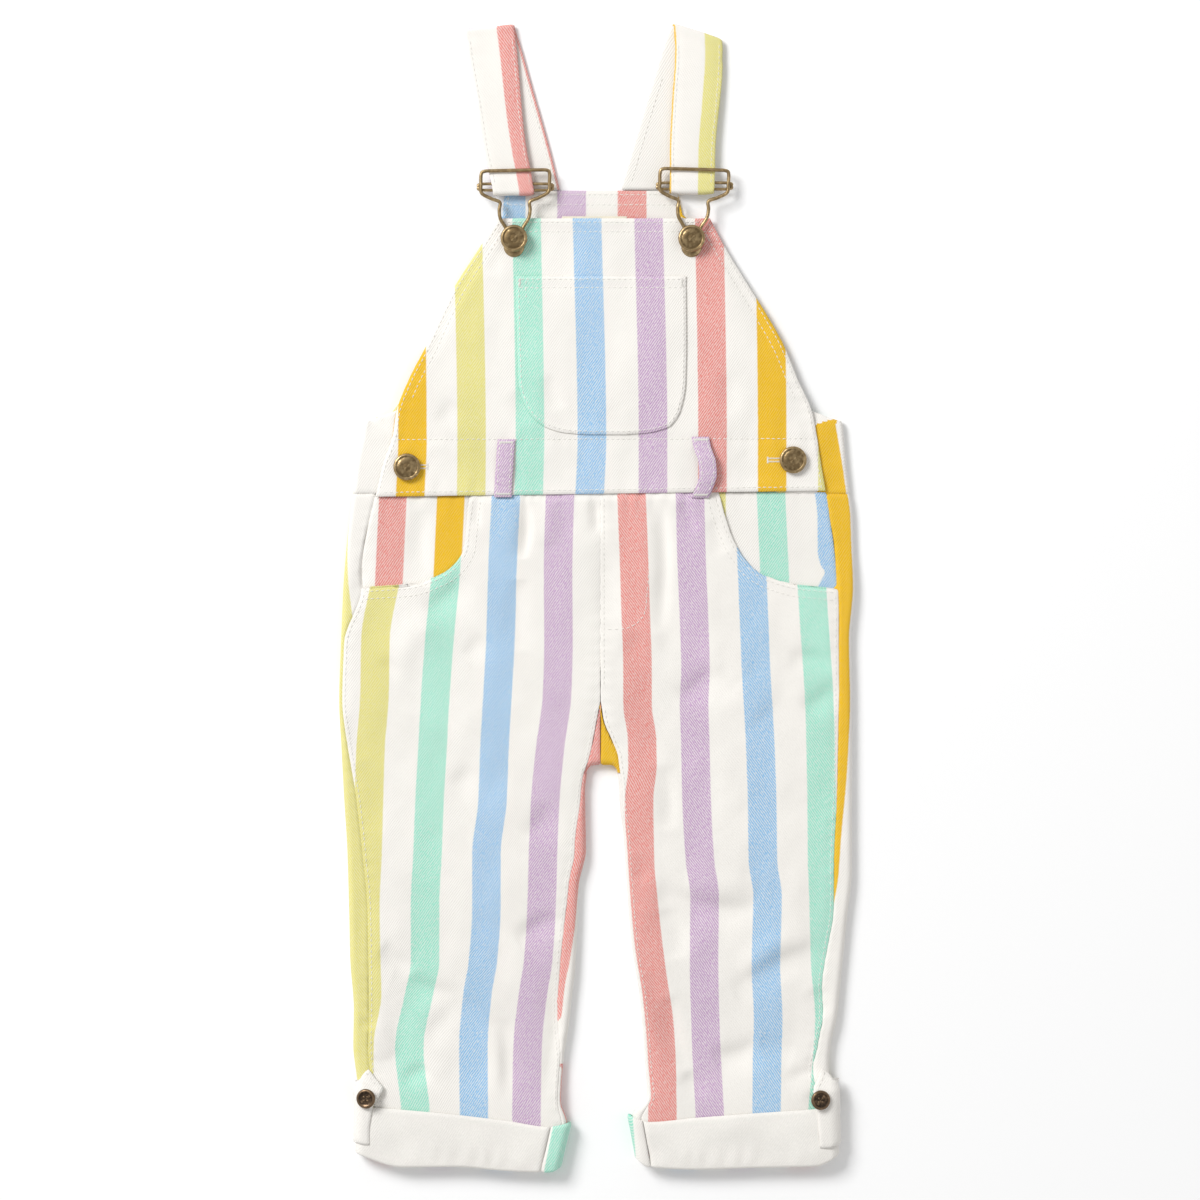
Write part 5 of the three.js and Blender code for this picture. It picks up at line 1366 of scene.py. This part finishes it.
def cap_profile(low, high):
    """A button's cap: a rolled rim, a groove inside it and a low dome."""
    rim = CAP_RADIUS
    return [
        (0.02, low), (rim - 1.0, low), (rim - 0.3, low + 0.25), (rim, low + 0.8), (rim - 0.15, high - 0.75),
        (rim - 0.7, high - 0.3), (rim - 1.3, high - 0.2), (rim - 1.7, high - 0.45), (rim - 2.0, high - 0.5),
        (rim - 2.4, high - 0.3), (4.2, high - 0.1), (2.6, high - 0.02), (2.3, high - 0.12),
        (1.9, high - 0.02), (0.02, high + 0.06),
    ]


def moved(part, x, y, z):
    points, faces = part
    return points + np.array([x, y, z]), faces


def bib_button(buckle):
    x, y = buckle.button
    z = float(bib_top(np.array([x]), np.array([y]))[0]) + GAP
    base = turned_part([(0.02, 0), (5.7, 0), (5.9, 0.3), (5.4, 0.7), (3.0, 0.85), (0.02, 0.9)])
    neck = turned_part([(0.02, 0.2), (2.4, 0.2), (2.1, 1.0), (2.1, 3.6), (0.02, 3.6)], 24)
    cap = turned_part(cap_profile(3.5, 6.0))
    return moved(merged([moved(base, 0, -4.6, 0), moved(neck, 0, -1.6, 0), cap]), x, y, z)


SIDE_BUTTONS = {"right": (-108.3, 74.4), "left": (111.7, 78.4)}


def side_button(x, y):
    base = turned_part([(0.02, 0), (6.4, 0), (6.4, 0.7), (3, 1.3), (0.02, 1.3)])
    neck = turned_part([(0.02, 0.4), (3, 0.4), (3, 2), (0.02, 2)], 24)
    return moved(merged([base, neck, turned_part(cap_profile(1.4, 3.2))]), x, y, LEG_HEIGHT + GAP)


def tab_button(leg):
    """A four-hole button with a raised rim, tilted on the side of the turn-up."""
    rings = [(5.0, 0), (5.5, 0.35), (5.6, 1.0), (5.3, 1.7), (4.6, 2.15), (4.0, 2.0), (3.6, 1.75), (3.0, 1.7)]
    body = turned_part([(0.02, 0), *rings, (0.02, 1.65)])
    holes = []
    for k in range(4):
        angle = QUARTER * (k + 0.5)
        hole = turned_part([(0.02, 1.5), (0.62, 1.5), (0.72, 1.74), (0.02, 1.76)], 16)
        holes.append(moved(hole, 1.5 * math.cos(angle), 1.5 * math.sin(angle), 0))
    x, tilt = leg.tab_button.x, leg.tab_button.tilt
    y = float(along(leg.cuff, "x", "top", np.array([x]))[0]) + 5
    place = np.array([x, y, CUFF_HEIGHT + TAB_GAP + TAB_THICK + leg.tab_button.rise])
    across, up = math.cos(tilt), leg.side * math.sin(tilt)
    turn = np.array([[across, 0, up], [0, 1, 0], [-up, 0, across]])
    points, faces = merged([body, *holes])
    return points @ turn.T + place, faces


# The whole garment

for leg in LEGS:
    build_leg(leg)
    facing(leg)
    build_cuffs(leg)
    build_tab(leg)
bib_front()
patch_pocket()
upper_back()
back_label()
for name, rows in LOOP_ROWS.items():
    belt_loop(name, rows)
for name, rows in STRAP_ROWS.items():
    strap(name, rows)
for buckle in BUCKLES:
    metal_piece(f"buckle_{buckle.name}", buckle_frame(buckle), BRASS)
    metal_piece(f"slider_{buckle.name}", buckle_slider(buckle), BRASS)
    metal_piece(f"bib_button_{buckle.name}", bib_button(buckle), BRASS)
for name, (x, y) in SIDE_BUTTONS.items():
    metal_piece(f"side_button_{name}", side_button(x, y), BRASS)
for leg in LEGS:
    metal_piece(f"tab_button_{leg.name}", tab_button(leg), DARK)


# Sewing

STITCH = 2.3
STITCH_GAP = 0.75
THREAD_HALF = 0.24
NEAR_SEAM = 1.9  # from an edge to its first line of sewing
SECOND_LINE = 6.2  # and to its second


def line_of(x, y):
    return np.stack(np.broadcast_arrays(np.asarray(x, float), np.asarray(y, float)), axis=-1)


def straight(x0, y0, x1, y1):
    share = np.linspace(0, 1, 60)
    return line_of(mix(x0, x1, share), mix(y0, y1, share))


def beside(line, away):
    """The same line moved to its left."""
    ahead = np.gradient(line, axis=0)
    ahead /= np.linalg.norm(ahead, axis=1, keepdims=True)
    return line + away * np.stack([-ahead[:, 1], ahead[:, 0]], axis=1)


def dashes(line, draw):
    """Both ends of each stitch along a line."""
    run = run_along(line)
    count = int(run[-1] / (STITCH + STITCH_GAP))
    pitch = run[-1] / count
    middle = (np.arange(count) + 0.5) * pitch
    half = (pitch - STITCH_GAP) / 2 * draw.uniform(0.9, 1.05, count)
    ends = []
    for at in (middle - half, middle + half):
        ends.append(line_of(np.interp(at, run, line[:, 0]), np.interp(at, run, line[:, 1])))
    shift = draw.normal(0, 0.07, (count, 2))
    return np.stack([ends[0] + shift, ends[1] + shift[:, ::-1]], axis=1)


def bar_tack(x, y, width, height=1.7, upright=False):
    """Close stitches across the end of a seam."""
    at = np.arange(-width / 2, width / 2, 0.42)
    if upright:
        return np.stack([line_of(x - height / 2, y + at), line_of(x + height / 2, y + at)], axis=1)
    return np.stack([line_of(x + at, y - height / 2), line_of(x + at, y + height / 2)], axis=1)


def buttonhole(x0, x1, y):
    """Close stitches round a slot from x0 to x1, with a bar across its free end."""
    at = np.arange(min(x0, x1), max(x0, x1), 0.5)
    upper = np.stack([line_of(at, y + 0.3), line_of(at, y + 1.5)], axis=1)
    lower = np.stack([line_of(at, y - 0.3), line_of(at, y - 1.5)], axis=1)
    return np.concatenate([upper, lower, bar_tack(x1, y, 3.4, 1.3, True)])


def sewn(tree, stitches, half):
    """Rings of points round each stitch, laid on a surface that is looked down on."""
    rings = []
    turn = np.linspace(0, 2 * math.pi, 6, endpoint=False)[:, None]
    thick = half * np.array([0.45, 0.9, 1.0, 0.9, 0.45])
    rise = half * np.array([-0.9, 0.3, 0.55, 0.3, -0.9])
    for start, end in stitches:
        spine = []
        for share in np.linspace(0, 1, 5):
            x, y = mix(start, end, share) * MM
            hit = tree.ray_cast(Vector((x, y, 0.1)), Vector((0, 0, -1)))
            if hit[0] is not None and hit[1].z > 0.35:
                spine.append((*(hit[0] / MM), *hit[1]))
        if len(spine) < 5:
            continue
        spine = np.array(spine)
        centre, normal = spine[:, :3], spine[:, 3:]
        if np.abs(np.diff(centre[:, 2])).max() > 0.7:
            continue
        ahead = centre[-1] - centre[0]
        across = np.cross(normal, ahead / np.linalg.norm(ahead))
        across /= np.linalg.norm(across, axis=1, keepdims=True)
        for k in range(5):
            middle = centre[k] + normal[k] * rise[k]
            rings.append(middle + thick[k] * (np.cos(turn) * across[k] + np.sin(turn) * normal[k]))
    return np.array(rings).reshape(-1, 5, 6, 3)


def stitch_mesh(rings):
    count = len(rings)
    ids = np.arange(count * 30).reshape(count, 5, 6)
    onward = np.roll(ids, -1, axis=2)
    quads = np.stack([ids[:, :-1], onward[:, :-1], onward[:, 1:], ids[:, 1:]], axis=-1).reshape(-1, 4)
    faces = quads.tolist() + ids[:, 0, ::-1].tolist() + ids[:, -1].tolist()
    return rings.reshape(-1, 3), faces


def edge_line(leg, s, edge, inset):
    """A line beside a front panel's outer or inner seam."""
    if edge == "outer":
        x = along(leg.outer, "y", "x", s) - leg.side * (along(leg.outer, "y", "seam", s) + inset)
    else:
        side = along(leg.inner, "y", "x", s) + leg.side * (along(leg.inner, "y", "seam", s) + inset)
        x = np.where(s < CROTCH_START_Y, side, along(leg.crotch, "y", "x", s) + leg.side * inset)
    return line_of(x, row_y(leg, s, x))


def leg_sewing(leg):
    pocket = line_of(*even_curve(leg.pocket, "y", 80))[1:-2]
    low = np.linspace(-287, leg.pocket["y"].min() - 3, 200)
    inside = np.linspace(-287, APEX_Y - 3, 200)
    lines = [
        beside(pocket, leg.side * NEAR_SEAM), beside(pocket, leg.side * SECOND_LINE),
        edge_line(leg, low, "outer", NEAR_SEAM), edge_line(leg, inside, "inner", NEAR_SEAM),
    ]
    if leg.side > 0:
        lines.append(straight(CENTRE_X + NEAR_SEAM, -50, CENTRE_X + NEAR_SEAM, 57))
        share = np.linspace(0, QUARTER, 30)
        lines.append(line_of(13 + 15 * np.sin(share), -4 - 14 * np.cos(share)))
        lines.append(straight(CENTRE_X + 3, -18, 13, -18))
        lines.append(straight(28, -4, 29.5, 14))
    return lines


def bib_sewing():
    y = np.linspace(62, BIB_TOP_Y - 1.5, 200)
    right = line_of(along(BIB, "y", "right", y), y)
    left = line_of(along(BIB, "y", "left", y), y)
    lines = [beside(right, -NEAR_SEAM), beside(left, NEAR_SEAM)]
    upper = slice(70, 195)
    lines += [beside(right, -SECOND_LINE)[upper], beside(left, SECOND_LINE)[upper]]
    lines.append(straight(-55, BIB_TOP_Y - 2.2, 62, BIB_TOP_Y - 2.2))
    lines.append(straight(-58, BIB_TOP_Y - 7.6, 66, BIB_TOP_Y - 7.6))
    lines.append(straight(-115, 90.1, 123.5, 90.6))
    lines.append(straight(-122, waist_y(-122) + 2.3, 128, waist_y(128) + 2.3))
    return lines


def patch_sewing():
    y = np.linspace(PATCH["y"].max() - 1, PATCH["y"].min() + 0.2, 120)
    right = line_of(PATCH_X + along(PATCH, "y", "right", y), y)
    left = line_of(PATCH_X + along(PATCH, "y", "left", y), y)[::-1]
    outline = np.concatenate([right, left])
    run = run_along(outline)
    even = np.linspace(0, run[-1], 240)
    outline = line_of(np.interp(even, run, outline[:, 0]), np.interp(even, run, outline[:, 1]))
    top = PATCH["y"].max()
    return [
        beside(outline, 1.7), straight(-45, top - 6.6, 49, top - 6.6),
        straight(-44, top - 1.8, 48, top - 1.8), straight(-40.5, top - 2, -40.5, top - 13),
    ]


def back_sewing():
    top = BACK["y"].max()
    y = np.linspace(112, top - 3, 120)
    right = np.interp(y, BACK["y"], BACK["right"])
    left = np.interp(y, BACK["y"], BACK["left"])
    return [
        straight(-50, top - 2.2, 44, top - 2.2), straight(-51, top - 8, 46, top - 8),
        line_of(right + 2.2, y), line_of(left - 2.2, y),
    ]


def strap_sewing(rows):
    y = np.linspace(236, rows.front["y"].max() - 6, 90)
    right = along(rows.front, "y", "right", y)
    left = along(rows.front, "y", "left", y)
    y_back = np.linspace(237, 297, 60)
    if rows.slope > 0:
        back = along(rows.back, "y", "left", y_back) - 2.6
    else:
        back = along(rows.back, "y", "right", y_back) + 4.4
    return [line_of(right + 1.9, y), line_of(left - 1.9, y), line_of(back, y_back)]


def sewing_piece():
    draw = np.random.default_rng(5)
    rings = []

    def sew(name, lines, more=()):
        piece = bpy.data.objects[name + "_cloth"]
        tree = BVHTree.FromObject(piece, bpy.context.evaluated_depsgraph_get())
        stitches = [dashes(line, draw) for line in lines]
        rings.append(sewn(tree, np.concatenate(stitches), THREAD_HALF))
        for part in more:
            rings.append(sewn(tree, part, 0.2))

    for leg in LEGS:
        sew("front_leg_" + leg.name, leg_sewing(leg))
    holes = [buttonhole(-108, -96.5, 74.6), buttonhole(111, 97.3, 78.4)]
    sew("bib_front", bib_sewing(), holes)
    top = PATCH["y"].max()
    tacks = [bar_tack(PATCH_X + x, top - 3.4, 4.5, 1.6, True) for x in (-45.5, 46.8)]
    sew("bib_pocket", patch_sewing(), tacks)
    sew("upper_back", back_sewing())
    for name, rows in STRAP_ROWS.items():
        sew("strap_" + name, strap_sewing(rows))
    for name, rows in LOOP_ROWS.items():
        y = np.linspace(rows["y"].min() + 1, rows["y"].max() - 1, 40)
        middle = along(rows, "y", "x", y)
        sides = [line_of(middle + shift, y) for shift in (-3.4, 3.4)]
        ends = [bar_tack(middle[0], y[0] + 0.8, 7.6), bar_tack(middle[-1], y[-1] - 0.8, 7.6)]
        sew("belt_loop_" + name, sides, ends)
    for leg in LEGS:
        inner = leg.outer_top - leg.side * (leg.tab["width"][2:] - NEAR_SEAM)
        y = np.array([float(along(leg.cuff, "x", "top", x)) for x in inner]) + leg.tab["above"][2:]
        at = np.linspace(0, len(y) - 1, 60)
        rows = range(len(y))
        sew("cuff_tab_" + leg.name, [line_of(np.interp(at, rows, inner), np.interp(at, rows, y) - 1.2)])
    points, faces = stitch_mesh(np.concatenate(rings))
    obj = new_object("stitching", points, faces, THREAD, {})
    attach(obj, "root")


sewing_piece()


# Camera, floor and light

CAMERA_HEIGHT = 3.0
FRAME_WIDTH = 0.684
FRAME_CENTRE = (1.7, -1.4)


def make_camera():
    data = bpy.data.cameras.new("camera")
    data.sensor_width = 36
    data.lens = 36 * (CAMERA_HEIGHT - 0.006) / FRAME_WIDTH
    data.clip_end = 50
    camera = bpy.data.objects.new("camera", data)
    camera.location = (FRAME_CENTRE[0] * MM, FRAME_CENTRE[1] * MM, CAMERA_HEIGHT)
    bpy.context.scene.collection.objects.link(camera)
    bpy.context.scene.camera = camera


def make_floor():
    tree = Tree("pale_floor", Roughness=0.9, Specular_IOR_Level=0.1)
    tree.shader.inputs["Base Color"].default_value = (0.985, 0.985, 0.985, 1)
    mesh = bpy.data.meshes.new("floor")
    size, low = 6.0, -0.0004
    corners = [(-size, -size, low), (size, -size, low), (size, size, low), (-size, size, low)]
    mesh.from_pydata(corners, [], [(0, 1, 2, 3)])
    mesh.materials.append(tree.material)
    floor = bpy.data.objects.new("floor", mesh)
    bpy.context.scene.collection.objects.link(floor)


def area_light(name, place, size, power):
    data = bpy.data.lights.new(name, "AREA")
    data.size, data.energy = size, power
    light = bpy.data.objects.new(name, data)
    light.location = place
    light.rotation_mode = "QUATERNION"
    light.rotation_quaternion = (-Vector(place)).to_track_quat("-Z", "Y")
    bpy.context.scene.collection.objects.link(light)


def make_light():
    world = bpy.data.worlds.new("studio")
    world.use_nodes = True
    world.node_tree.nodes["Background"].inputs["Color"].default_value = (1, 1, 1, 1)
    world.node_tree.nodes["Background"].inputs["Strength"].default_value = 0.52
    bpy.context.scene.world = world
    bpy.context.scene.view_settings.view_transform = "Standard"
    area_light("key", (-2.2, 1.9, 2.5), 1.5, 118)
    area_light("fill", (2.4, -1.2, 3.2), 2.6, 11)


make_camera()
make_floor()
make_light()
